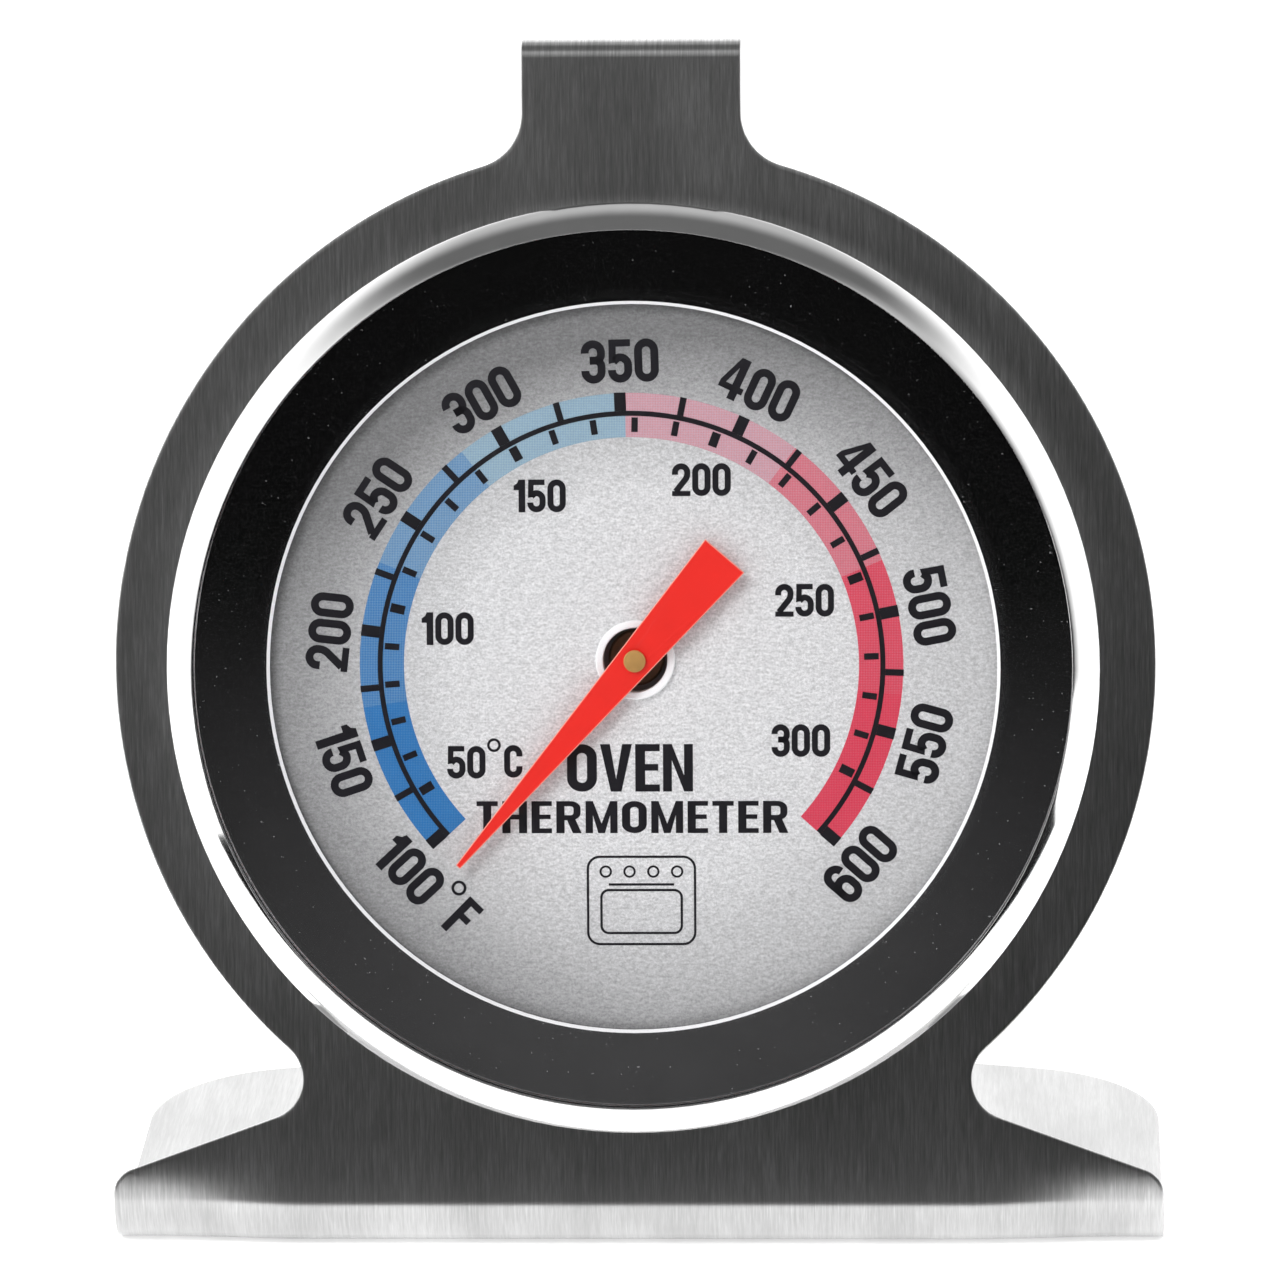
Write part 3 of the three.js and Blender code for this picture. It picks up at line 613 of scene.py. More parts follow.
def ink(name, colour, paper=None, cover=1.0):
    """Printing ink. With paper, a halftone screen of the ink lets some of the dial through."""
    shader = Shader(name, Metallic=0.0)
    place = shader.dial_place()
    grain = shader.noise(place, 6.0, 3.0, 0.7)
    tone = colour
    if paper:
        screen_pitch, screen_swing = 0.22, 0.3
        x, y, _ = shader.node("ShaderNodeSeparateXYZ", Vector=place).outputs
        diagonals = [shader.math(operation, x, y) for operation in ("ADD", "SUBTRACT")]
        turns = 2 * math.pi / screen_pitch
        waves = [shader.math("SINE", shader.math("MULTIPLY", axis, turns)) for axis in diagonals]
        screen = shader.math("MULTIPLY", *waves)
        node = shader.nodes.new("ShaderNodeMix")
        node.data_type = "RGBA"
        share = shader.spread(screen, cover - screen_swing, cover + screen_swing, -1.0, 1.0)
        shader.link(share, node.inputs["Factor"])
        node.inputs[6].default_value = (*paper, 1)
        node.inputs[7].default_value = (*colour, 1)
        tone = node.outputs[2]
    colour = shader.tint(tone, grain, 0.86, 1.14)
    return shader.finish(colour, shader.spread(grain, 0.45, 0.6), (grain, 0.15, 0.02))


STEEL_SHEET = brushed_sheet()
POLISHED = turned_ring("polished_ring", (0.74, 0.9), (0.05, 0.12))
# The eyelet's bright satin finish, and also the near-white painted highlight on the trim ring's inner
# chamfer.
BRIGHT_SATIN_AND_HIGHLIGHT = turned_ring("bright_satin_and_painted_highlight", (0.92, 1.0), (0.3, 0.4), 0.05)
MIRROR = dark_mirror()
DRAWN = drawn_steel()
PRESSED = grained("pressed_steel", 1.0, grey(1.0), (0.38, 0.6), 0.5, (6.0, 3.0, 0.6), (0.3, 0.5), (0.1, 0.02))
BRASS = turned_brass("turned_brass", srgb(226, 176, 106))
# Darker brass for the front bearing: painted shade of the dial's hole it sits in.
SHADED_BRASS = turned_brass("brass_with_painted_shade", srgb(150, 118, 92))
BIMETAL = turned_brass("bimetal_strip", srgb(150, 132, 108))
GLASS = clear_glass()
SILVER = dial_silver()
BLACK_INK = ink("black_ink", srgb(24, 22, 28))
PAINT = pointer_paint("pointer_paint", srgb(230, 34, 23))
# A pale pink painted highlight for the pointer blade's edge faces.
EDGE_HIGHLIGHT_PAINT = pointer_paint("painted_edge_highlight", srgb(244, 150, 132))


# ---------------------------------------------------------------- stand

FOOT_TURN = math.pi / 2 + LEAN
PLATE_START = BASE_DEPTH + FOOT_TURN * FOOT_BEND
HOOK_START = PLATE_START + FOOT_TO_DIAL + HOOK_HEIGHT - HOOK_BEND
HOOK_ARC = HOOK_BEND * math.pi / 2
HOOK_FLAT = HOOK_DEPTH - 2 * HOOK_BEND
SHEET_END = HOOK_START + 2 * HOOK_ARC + HOOK_FLAT + HOOK_LIP - HOOK_BEND
DIAL_ALONG = PLATE_START + FOOT_TO_DIAL


def sheet_moves():
    """The sheet's outer face from the base's back edge to the hook's lip, as lengths and turns."""
    return [
        (BASE_DEPTH, 0, 0),
        (FOOT_TURN * FOOT_BEND, FOOT_TURN, FOOT_BEND),
        (FOOT_TO_DIAL + HOOK_HEIGHT - HOOK_BEND, 0, 0),
        (HOOK_ARC, math.pi / 2, HOOK_BEND),
        (HOOK_FLAT, 0, 0),
        (HOOK_ARC, math.pi / 2, HOOK_BEND),
        (HOOK_LIP - HOOK_BEND, 0, 0),
    ]


def eased(value):
    """A smooth rise from 0 to 1 as the value goes from 0 to 1."""
    value = min(1, max(0, value))
    return value * value * (3 - 2 * value)


def end_curl(x, along):
    """How far the foot's front is pressed back near its two ends."""
    toward_end = eased((abs(x) - END_CURL_START) / END_CURL_SPAN)
    above = 1 - eased((along - PLATE_START - END_CURL_LOW) / (END_CURL_HIGH - END_CURL_LOW))
    return END_CURL * toward_end * above * eased((along - BASE_DEPTH / 2) / (BASE_DEPTH / 2))


def bent_place(x, along, depth):
    """Where a point of the flat sheet lies once the sheet is bent, in the row frame's millimetres."""
    position = Vector((BEND_Y + BASE_DEPTH, 0))
    heading = math.pi
    left = along
    for length, turn, radius in sheet_moves():
        part = min(left, length)
        if turn == 0:
            position = position + Vector((math.cos(heading), math.sin(heading))) * part
        else:
            inward = Vector((math.sin(heading), -math.cos(heading)))
            centre = position + inward * radius
            heading -= part / radius
            position = centre - Vector((math.sin(heading), -math.cos(heading))) * radius
        left -= part
        if left <= 0:
            break
    inward = Vector((math.sin(heading), -math.cos(heading)))
    point = position + inward * depth
    return (x, point.x + end_curl(x, along), point.y)


def subdivided(a, b, stops):
    """The straight line from a to b with points at the given distances along the sheet."""
    inner = sorted((s for s in stops if min(a.y, b.y) < s < max(a.y, b.y)), reverse=b.y < a.y)
    return [a] + [Vector((a.x + (b.x - a.x) * (s - a.y) / (b.y - a.y), s)) for s in inner] + [b]


def stand():
    foot_rows = [BASE_DEPTH + FOOT_TURN * FOOT_BEND * i / 30 for i in range(31)]
    foot_rows += [PLATE_START + END_CURL_HIGH * i / 16 for i in range(1, 17)]
    foot_rows += [BASE_DEPTH / 2 + BASE_DEPTH / 2 * i / 8 for i in range(8)]
    first_rows = [HOOK_START + HOOK_ARC * i / 16 for i in range(17)]
    second_start = HOOK_START + HOOK_ARC + HOOK_FLAT
    second_rows = [second_start + HOOK_ARC * i / 16 for i in range(17)]
    stops = foot_rows + first_rows + second_rows

    corner_x = HALF_WIDTH - BASE_CORNER
    corner_t = BASE_BACK_RADIUS - math.sqrt((BASE_BACK_RADIUS - BASE_CORNER) ** 2 - corner_x ** 2)
    meet = math.atan2(corner_t - BASE_BACK_RADIUS, corner_x)
    right = arc(0, BASE_BACK_RADIUS, BASE_BACK_RADIUS, -math.pi / 2, meet, math.radians(1))
    right += arc(corner_x, corner_t, BASE_CORNER, meet, 0)

    neck_x = NECK_HALF_WIDTH + NECK_FILLET
    neck_y = -math.sqrt((RING_RADIUS + NECK_FILLET) ** 2 - neck_x ** 2)
    neck_angle = math.atan2(neck_y, neck_x)
    flare_normal = math.pi / 2 - FLARE
    flare_x = neck_x - NECK_FILLET * math.cos(flare_normal)
    flare_y = neck_y - NECK_FILLET * math.sin(flare_normal)
    foot_x = HALF_WIDTH - FOOT_CORNER
    foot_y = flare_y - (foot_x - flare_x) * math.tan(FLARE) - FOOT_CORNER / math.cos(FLARE)
    hook_x = HOOK_HALF_WIDTH + HOOK_FILLET
    hook_y = math.sqrt((RING_RADIUS + HOOK_FILLET) ** 2 - hook_x ** 2)
    hook_angle = math.atan2(hook_y, hook_x)
    upper = arc(foot_x, foot_y, FOOT_CORNER, 0, flare_normal, math.radians(6))
    upper += arc(neck_x, neck_y, NECK_FILLET, flare_normal + math.pi, neck_angle + math.pi, math.radians(5))
    upper += arc(0, 0, RING_RADIUS, neck_angle, hook_angle, math.radians(1.5))
    upper += arc(hook_x, hook_y, HOOK_FILLET, hook_angle + math.pi, math.pi, math.radians(5))
    upper = [Vector((p.x, p.y + DIAL_ALONG)) for p in upper]
    lip_x, lip_y = HOOK_TIP_HALF_WIDTH - HOOK_LIP_CORNER, SHEET_END - HOOK_LIP_CORNER
    tip = arc(lip_x, lip_y, HOOK_LIP_CORNER, 0, math.pi / 2, math.radians(10))
    right = right[:-1] + subdivided(right[-1], upper[0], stops) + upper[1:-1]
    right += subdivided(upper[-1], Vector((HOOK_HALF_WIDTH, first_rows[-1])), stops)
    right += subdivided(Vector((HOOK_TIP_HALF_WIDTH, second_start)), tip[0], stops) + tip[1:]
    left = [Vector((-p.x, p.y)) for p in reversed(right)]
    outline = distinct(right + left)
    hole = [Vector((p.x, p.y + DIAL_ALONG)) for p in reversed(arc(0, 0, RING_HOLE, 0, 2 * math.pi))]
    lines = []
    margin = 0.45
    for rows, half, count in (
        (foot_rows, HALF_WIDTH, 64), (first_rows, HOOK_HALF_WIDTH, 12),
        (second_rows, HOOK_TIP_HALF_WIDTH, 12),
    ):
        for row in rows:
            line = [Vector((half * (2 * k / count - 1), row)) for k in range(count + 1)]
            line = [p for p in line if inside(Vector((p.x + math.copysign(margin, p.x), p.y)), outline)]
            if len(line) > 1:
                lines.append(line)
    loops = [outline, distinct(hole)]
    vertices, faces, flat = sheet_part(loops, lines, SHEET, EDGE_ROUND, bent_place, SHEET_BORDER)
    piece = make_piece("stand_sheet", vertices, faces, FIXED, STEEL_SHEET, ["stand_plate"],
                       Matrix.Scale(MM, 4), 50)
    set_flat(piece, flat)


# ---------------------------------------------------------------- case and window

CASE_RADIUS = 27.9
CASE_WALL = 0.45
CASE_BACK = -8.45
CASE_SHOULDER = -7.05
FLOOR_JOIN = 18.4
STEP_INNER = 19.5
STEP_OUTER = 20.9
BEAD_RADIUS = 29.0
BEAD_BACK = -2.2
BEAD_FRONT = -0.6
FLANGE_RADIUS = 30.1
FLANGE_BACK = 0.05
FLANGE_FRONT = 0.65
VENT_COUNT = 8
VENT_PITCH_RADIUS = 16.0
VENT_LENGTH = 7.0
VENT_WIDTH = 1.8
RIVET_X = 14.5
ANCHOR_RIVET_Y = -11.4
RIVET_HOLE = 0.9
BEARING_HOLE = 1.8
FINE = 144
MEDIUM = 72
COARSE = 48


def case():
    """The drawn cup: a turned wall, and a flat floor with its slots and rivet holes."""
    inner = CASE_RADIUS - CASE_WALL
    floor = CASE_BACK + CASE_WALL
    step = CASE_SHOULDER + CASE_WALL
    bead = BEAD_RADIUS - CASE_WALL
    path = filleted([
        (FLOOR_JOIN, CASE_BACK, 0), (STEP_INNER, CASE_BACK, 0.8), (STEP_OUTER, CASE_SHOULDER, 0.8),
        (CASE_RADIUS, CASE_SHOULDER, 2.0), (CASE_RADIUS, BEAD_BACK, 0.4), (BEAD_RADIUS, -1.75, 0.35),
        (BEAD_RADIUS, -1.0, 0.35), (CASE_RADIUS, BEAD_FRONT, 0.3), (CASE_RADIUS, FLANGE_BACK, 0.15),
        (FLANGE_RADIUS, FLANGE_BACK, 0.12), (FLANGE_RADIUS, FLANGE_FRONT, 0.12), (inner, FLANGE_FRONT, 0.3),
        (inner, -0.45, 0.3), (bead, -1.1, 0.3), (bead, -1.6, 0.3), (inner, -2.3, 0.4), (inner, step, 1.6),
        (STEP_OUTER - 0.2, step, 0.5), (STEP_INNER - 0.2, floor, 0.5), (FLOOR_JOIN, floor, 0),
    ], closed=False)
    vertices, faces = revolve(path, FINE, closed=False)

    half = VENT_LENGTH / 2 - VENT_WIDTH / 2
    holes = []
    for k in range(VENT_COUNT):
        slot = arc(half, VENT_PITCH_RADIUS, VENT_WIDTH / 2, -math.pi / 2, math.pi / 2, math.radians(12))
        slot += arc(-half, VENT_PITCH_RADIUS, VENT_WIDTH / 2, math.pi / 2, math.pi * 1.5, math.radians(12))
        turn = Matrix.Rotation((k + 0.5) * 2 * math.pi / VENT_COUNT, 2)
        holes.append([turn @ p for p in slot])
    # Seen from behind, x runs the other way, so the floor is drawn mirrored.
    for x, y in ((-RIVET_X, 0), (RIVET_X, 0), (0, ANCHOR_RIVET_Y)):
        holes.append(circle(x - MOVEMENT_ASIDE, y + MOVEMENT_RISE, RIVET_HOLE))
    holes.append(circle(-MOVEMENT_ASIDE, MOVEMENT_RISE, BEARING_HOLE, math.radians(10)))
    loops = [circle(0, 0, FLOOR_JOIN, 2 * math.pi / FINE)] + [distinct(hole)[::-1] for hole in holes]

    def place(x, y, depth):
        return (-x, y, CASE_BACK + depth)

    square_edge = 0.0001
    plate, plate_faces, _ = sheet_part(loops, (), CASE_WALL, square_edge, place)
    offset = len(vertices)
    vertices += plate
    faces += [tuple(i + offset for i in face) for face in plate_faces]
    make_piece("case_shell", vertices, faces, FIXED, DRAWN, ["case_cup"])


def bezel():
    """The rolled rim: a straight wall whose crown arches in over the window and ends in a narrow lip."""
    radius, inner, mouth, front = 31.24, 30.85, 29.405, 4.71
    slopes = [math.radians(58 - 2.5 * i) for i in range(13)]
    crown_radius = (radius - mouth) / (math.sin(slopes[0]) - math.sin(slopes[-1]))
    x, z = mouth - crown_radius * math.sin(slopes[-1]), front - crown_radius * math.cos(slopes[-1])
    crown = [(x + crown_radius * math.sin(a), z + crown_radius * math.cos(a), 0) for a in slopes]
    lathe("bezel_rim", [
        (30.6, FLANGE_BACK, 0.1), (radius, FLANGE_BACK, 0.15), (crown[0][0], crown[0][1], 0.3), *crown[1:-1],
        (mouth, front, 0.03), (mouth, 4.15, 0.03), (29.9, 4.1, 0.05), (30.55, 3.3, 0.2), (inner, 2.6, 0.2),
        (inner, 0.5, 0.1), (30.6, 0.5, 0.1),
    ], FINE, FIXED, POLISHED, "bezel_ring")


def window():
    radius, back, front, round_edge = 29.8, 3.15, 4.05, 0.15
    corners = [(0, back, 0), (radius, back, round_edge), (radius, front, round_edge), (0, front, 0)]
    lathe("window_glass", corners, FINE, FIXED, GLASS, "lens", closed=False)


def trim():
    """The dark mirror ring: nearly flat, with a chamfer at its inner edge that carries a near-white painted
    highlight, over the dial.
    """
    inner, outer = 24.38, 29.5
    chamfer, highlight_back = 24.6, 1.9
    path = filleted([
        (29.0, 1.3, 0.05), (outer, 1.3, 0.05), (outer, 3.13, 0), (29.43, 3.13, 0), (29.43, 2.5, 0.08),
        (chamfer, 2.11, 0.03), (inner, 1.95, 0.03), (inner, 1.27, 0.05), (chamfer, 1.27, 0.05),
        (24.65, 1.8, 0.15), (28.8, 2.15, 0.3),
    ])
    vertices, faces = revolve(path, FINE)
    # Painted highlight: the chamfer's faces at the inner edge take the near-white finish, in place of a
    # reflected line of light.
    middles = [sum((Vector(vertices[i]) for i in face), Vector()) / len(face) for face in faces]
    highlight_faces = [int(m.xy.length < chamfer - 0.015 and m.z > highlight_back) for m in middles]
    make_piece("trim_mirror_ring", vertices, faces, FIXED, [MIRROR, BRIGHT_SATIN_AND_HIGHLIGHT],
               ["inner_trim_ring"], face_materials=highlight_faces)


def dial():
    """The dial plate, with its hole at the movement's axis."""
    rim = circle(0, 0, DIAL_RADIUS, 2 * math.pi / FINE)
    hole = circle(MOVEMENT_ASIDE, MOVEMENT_RISE, DIAL_HOLE, 2 * math.pi / MEDIUM)
    round_edge = 0.05

    def place(x, y, depth):
        return (x, y, DIAL_FRONT - depth)

    vertices, faces, _ = sheet_part([rim, hole[::-1]], (), DIAL_SHEET, round_edge, place)
    make_piece("dial_disc", vertices, faces, FIXED, SILVER, ["dial_plate"])


def eyelet():
    """The bright ring rolled into the dial's hole."""
    inner, outer = 2.15, 2.65
    lathe("eyelet_ring", [
        (inner, 0.5, 0.08), (outer, 0.5, 0.08), (outer, 0.8, 0.08), (DIAL_HOLE, 0.8, 0.05),
        (DIAL_HOLE, DIAL_FRONT, 0.03), (outer + 0.01, DIAL_FRONT, 0.03), (outer + 0.01, 1.6, 0.1),
        (inner, 1.6, 0.1),
    ], MEDIUM, FIXED, BRIGHT_SATIN_AND_HIGHLIGHT, "dial_eyelet", MOVEMENT)


# ---------------------------------------------------------------- printing

STROKE = 0.185
GLYPH = 0.56


def ribbon(corners, width=STROKE, closed=False):
    """The outline loops of a stroke of even width along a rounded path."""
    path = distinct(filleted(corners, closed, math.radians(12)))
    if closed:
        normals = loop_normals(path)
        outer = [p + n * width / 2 for p, n in zip(path, normals)]
        inner = [p - n * width / 2 for p, n in zip(path, normals)]
        return [[outer, inner[::-1]]]
    sides = []
    for i, point in enumerate(path):
        before = (point - path[i - 1]).normalized() if i else None
        after = (path[i + 1] - point).normalized() if i < len(path) - 1 else None
        mean = ((before or after) + (after or before)).normalized()
        reach = width / 2 / max(0.5, mean.dot(after or before))
        sides.append((point + Vector((mean.y, -mean.x)) * reach, point - Vector((mean.y, -mean.x)) * reach))
    return [[[a for a, _ in sides] + [b for _, b in reversed(sides)]]]


def block(*corners):
    return [[[Vector(c) for c in corners]]]


def bar(x0, y0, x1, y1):
    return block((x0, y0), (x1, y0), (x1, y1), (x0, y1))


def glyphs():
    """A plain condensed heavy face, one unit high: each character is its width and its filled shapes."""
    h = STROKE / 2
    w = GLYPH
    r = (w - STROKE) / 2
    top = 1 - h
    face = {}
    face["0"] = (w, ribbon([(h, h, r), (w - h, h, r), (w - h, top, r), (h, top, r)], closed=True))
    face["1"] = (0.36, bar(0.15, 0, 0.15 + STROKE * 1.1, 1)
                 + block((0, 0.68), (0.15, 0.68), (0.15, 1), (0.11, 0.89), (0, 0.82)))
    face["2"] = (w, ribbon([(h, 0.65, 0), (h, top, r), (w - h, top, r), (w - h, 0.58, 0.3),
                            (h + 0.02, 0.14, 0)])
                 + bar(0, 0, w, STROKE * 0.85))
    face["3"] = (w, ribbon([(h, 0.70, 0), (h, top, r), (w - h, top, r), (w - h, 0.53, 0.14), (0.2, 0.53, 0)])
                 + ribbon([(0.2, 0.53, 0), (w - h, 0.53, 0.14), (w - h, h, r), (h, h, r), (h, 0.30, 0)]))
    face["4"] = (w + 0.03, [[
        [Vector(p) for p in ((0, 0.19), (0.30, 0.19), (0.30, 0), (0.49, 0), (0.49, 0.19), (0.59, 0.19),
                             (0.59, 0.34), (0.49, 0.34), (0.49, 1.0), (0.26, 1.0), (0, 0.35))],
        [Vector(p) for p in ((0.14, 0.34), (0.30, 0.76), (0.30, 0.34))],
    ]])
    face["5"] = (w, bar(0.03, 1 - STROKE * 0.9, w - 0.03, 1)
                 + block((0.02, 0.44), (0.02 + STROKE * 0.9, 0.47), (0.05 + STROKE * 0.8, 1 - STROKE * 0.9),
                         (0.03, 1 - STROKE * 0.9))
                 + ribbon([(0.13, 0.49, 0), (0.24, 0.585, 0.1), (w - h, 0.585, r), (w - h, h, r), (h, h, r),
                           (h, 0.30, 0)]))
    face["6"] = (w, ribbon([(h, h, r), (w - h, h, r), (w - h, 0.585, r), (h, 0.585, r)], closed=True)
                 + ribbon([(h, 0.30, 0), (h, top, r), (w - h, top, r), (w - h, 0.72, 0)]))
    face["O"] = (w, face["0"][1])
    face["C"] = (w, ribbon([(w - h, 0.65, 0), (w - h, top, r), (h, top, r), (h, h, r), (w - h, h, r),
                            (w - h, 0.35, 0)]))
    face["F"] = (0.46, bar(0, 0, STROKE, 1) + bar(STROKE, 0.84, 0.46, 1) + bar(STROKE, 0.44, 0.42, 0.60))
    face["E"] = (0.46, bar(0, 0, STROKE, 1) + bar(STROKE, 0.85, 0.46, 1) + bar(STROKE, 0.44, 0.43, 0.58)
                 + bar(STROKE, 0, 0.46, 0.15))
    face["T"] = (0.48, bar(0, 0.85, 0.48, 1) + bar(0.24 - h, 0, 0.24 + h, 0.85))
    face["H"] = (w, bar(0, 0, STROKE, 1) + bar(w - STROKE, 0, w, 1) + bar(STROKE, 0.43, w - STROKE, 0.58))
    face["N"] = (0.56, bar(0, 0, 0.165, 1) + bar(0.395, 0, 0.56, 1)
                 + block((0.165, 1), (0.165, 0.66), (0.395, 0), (0.395, 0.34)))
    face["V"] = (0.60, block((0, 1), (0.2, 0), (0.40, 0), (0.60, 1), (0.415, 1), (0.30, 0.26), (0.185, 1)))
    face["M"] = (0.72, bar(0, 0, 0.165, 1) + bar(0.555, 0, 0.72, 1)
                 + block((0.165, 1), (0.165, 0.56), (0.285, 0), (0.435, 0), (0.555, 0.56), (0.555, 1),
                         (0.36, 0.30)))
    face["R"] = (w, bar(0, 0, STROKE, 1)
                 + ribbon([(STROKE, 0.92, 0), (w - h, 0.92, 0.15), (w - h, 0.48, 0.15), (STROKE, 0.48, 0)],
                          0.16)
                 + block((0.24, 0.41), (0.37, 0), (0.57, 0), (0.43, 0.43)))
    ring = [circle(0.16, 0.86, radius, 0.3) for radius in (0.16, 0.10)]
    face["°"] = (0.32, [[ring[0], ring[1][::-1]]])
    return face


FACE = glyphs()


def text_shapes(text, height, gap=0.055, stretch=1.0):
    """The filled shapes of a line of text, centred on its own middle, in millimetres."""
    shapes = []
    x = 0
    for character in text:
        width, parts = FACE[character]
        for part in parts:
            shapes.append([[Vector(((x + p.x) * stretch, p.y - 0.5)) * height for p in loop]
                           for loop in part])
        x += width + gap
    middle = (x - gap) / 2 * height * stretch
    return [[[Vector((p.x - middle, p.y)) for p in loop] for loop in shape] for shape in shapes]


def moved(shapes, x, y, turn=0.0):
    """Shapes turned clockwise and moved to a place on the dial."""
    rotate = Matrix.Rotation(-turn, 2)
    place = Vector((x, y)) + PRINT_SHIFT
    return [[[rotate @ p + place for p in loop] for loop in shape] for shape in shapes]


def printed(name, groups, base, height, materials):
    """A thin raised print: each group of shapes takes the material of its own number."""
    vertices = []
    faces = []
    face_materials = []
    for number, shapes in enumerate(groups):
        for loops in shapes:
            points, triangles = fill(loops)
            start = len(vertices)
            count = len(points)
            vertices += [(p.x, p.y, base + height) for p in points]
            vertices += [(p.x, p.y, base) for p in points]
            for a, b, c in triangles:
                if (points[b] - points[a]).cross(points[c] - points[a]) < 0:
                    b, c = c, b
                faces.append((start + a, start + b, start + c))
                faces.append((start + count + a, start + count + c, start + count + b))
            first = 0
            for k, loop in enumerate(loops):
                signed = sum(a.cross(b) for a, b in zip(loop, loop[1:] + loop[:1]))
                forward = (signed > 0) == (k == 0)
                for i in range(len(loop)):
                    a = start + first + i
                    b = start + first + (i + 1) % len(loop)
                    faces.append((a, a + count, b + count, b) if forward else (b, b + count, a + count, a))
                first += len(loop)
            face_materials += [number] * (len(faces) - len(face_materials))
    return make_piece(name, vertices, faces, FIXED, materials, face_materials=face_materials, sharp=30)


def scale_angle(fahrenheit):
    """The clockwise angle from the top of the dial at which a temperature is printed."""
    x = (fahrenheit - 350) / 250
    even = -2.9 + 131.3 * x + 2.6 * x * x + 1.9 * math.sin(math.pi * x)
    return math.radians(even + 0.85 * math.exp(-((x + 0.08) / 0.28) ** 2))


def from_celsius(celsius):
    return celsius * 9 / 5 + 32


def sector(inner, outer, start, end):
    """A piece of a ring between two clockwise angles from the top."""
    first = math.pi / 2 - end
    last = math.pi / 2 - start
    return [arc(0, 0, outer, first, last, math.radians(2)) + arc(0, 0, inner, last, first, math.radians(2))]


def tick(inner, outer, angle, width):
    half = width / 2
    shape = [[Vector((-half, inner)), Vector((half, inner)), Vector((half, outer)), Vector((-half, outer))]]
    return moved([shape], 0, 0, angle)[0]


def scale():
    """The band of blue and red steps, and the marks of both scales over it."""
    blue, pale_blue, blue_covers = srgb(2, 104, 170), srgb(172, 192, 190), [1.0, 0.84, 0.64, 0.36]
    red, pale_red, red_covers = srgb(208, 40, 70), srgb(186, 182, 190), [0.36, 0.66, 0.92, 1.0]
    inks = [ink(f"blue_ink_{i}", blue, pale_blue, cover) for i, cover in enumerate(blue_covers)]
    inks += [ink(f"red_ink_{i}", red, pale_red, cover) for i, cover in enumerate(red_covers)]
    limits = [scale_angle(f) for f in (97.4, 167, 229, 284, 352, 423, 479, 534, 602.2)]
    groups = [moved([sector(BAND_INNER, BAND_OUTER, a, b)], 0, 0) for a, b in zip(limits, limits[1:])]
    printed("scale_band", groups, DIAL_FRONT, INK, inks)

    line = sector(ARC_LINE - ARC_LINE_HALF, ARC_LINE + ARC_LINE_HALF, limits[0], limits[-1])
    marks = moved([line], 0, 0)
    for fahrenheit in range(100, 601, 25):
        width = 0.78 if fahrenheit % 50 == 0 else 0.44
        marks.append(tick(ARC_LINE + ARC_LINE_HALF, BAND_OUTER + 0.03, scale_angle(fahrenheit), width))
    celsius_inner, celsius_outer = 15.62, 16.6
    for celsius in range(50, 301, 10):
        width = 0.6 if celsius % 50 == 0 else 0.43
        marks.append(tick(celsius_inner, celsius_outer, scale_angle(from_celsius(celsius)), width))
    printed("scale_marks", [marks], DIAL_FRONT + INK, INK, [BLACK_INK])


def at_angle(text, height, radius, angle, turn):
    """A text's shapes at a radius and a clockwise angle from the top of the dial."""
    return moved(text_shapes(text, height), radius * math.sin(angle), radius * math.cos(angle), turn)


def numerals():
    """The numbers and unit signs of both scales."""
    shapes = []
    for fahrenheit in range(100, 601, 50):
        angle = scale_angle(fahrenheit) + math.radians(-1.1 if fahrenheit <= 200 else 0.3)
        upside_down = fahrenheit <= 150 or fahrenheit >= 550
        shapes += at_angle(str(fahrenheit), 2.9, 20.38, angle, angle + math.pi if upside_down else angle)
    degree_angle, unit_angle = math.radians(-144.2), math.radians(-146.1)
    shapes += at_angle("°", 3.2, 19.98, degree_angle, 0)
    shapes += at_angle("F", 2.85, 20.57, unit_angle, unit_angle + math.radians(191))
    printed("fahrenheit_numerals", [shapes], DIAL_FRONT, INK, [BLACK_INK])

    shapes = []
    for text, height, x, y in (
        ("50", 2.2, -11.13, -6.56), ("100", 2.2, -12.31, 2.45), ("150", 2.2, -6.07, 11.35),
        ("200", 2.2, 4.77, 12.41), ("250", 2.2, 11.64, 4.3), ("300", 2.2, 11.35, -5.13),
        ("°", 2.9, -9.26, -6.45), ("C", 2.2, -7.97, -6.5),
    ):
        shapes += moved(text_shapes(text, height), x, y)
    printed("celsius_numerals", [shapes], DIAL_FRONT, INK, [BLACK_INK])


def words():
    shapes = moved(text_shapes("OVEN", 3.2, 0.06, 1.12), -0.13, -6.95)
    shapes += moved(text_shapes("THERMOMETER", 2.16, 0.1, 1.38), 0, -10.27)
    printed("dial_words", [shapes], DIAL_FRONT, INK, [BLACK_INK])


def rounded_frame(x, y, width, height, corner, line):
    a, b = width / 2, height / 2
    signs = ((-1, -1), (1, -1), (1, 1), (-1, 1))
    return ribbon([(x + a * across, y + b * up, corner) for across, up in signs], line, closed=True)


def pictogram():
    """A small plain drawing of an oven under the words."""
    line = 0.16
    x, y = 0.6, -15.9
    shapes = rounded_frame(x, y, 7.2, 5.9, 0.8, line) + rounded_frame(x, y - 0.75, 5.4, 2.9, 0.5, line)
    for k in range(4):
        knob = [circle(x - 2.4 + 1.6 * k, y + 1.95, radius, 0.3) for radius in (0.42, 0.28)]
        shapes.append([knob[0], knob[1][::-1]])
    shapes += bar(x - 2.2, y + 1.0, x + 2.2, y + 1.0 + line)
    printed("oven_pictogram", [moved(shapes, 0, 0)], DIAL_FRONT, INK, [BLACK_INK])


# ---------------------------------------------------------------- pointer and movement

POINTER_BACK = 2.1
POINTER_TURN = math.radians(139.2)
SOFT_EDGE = 0.06


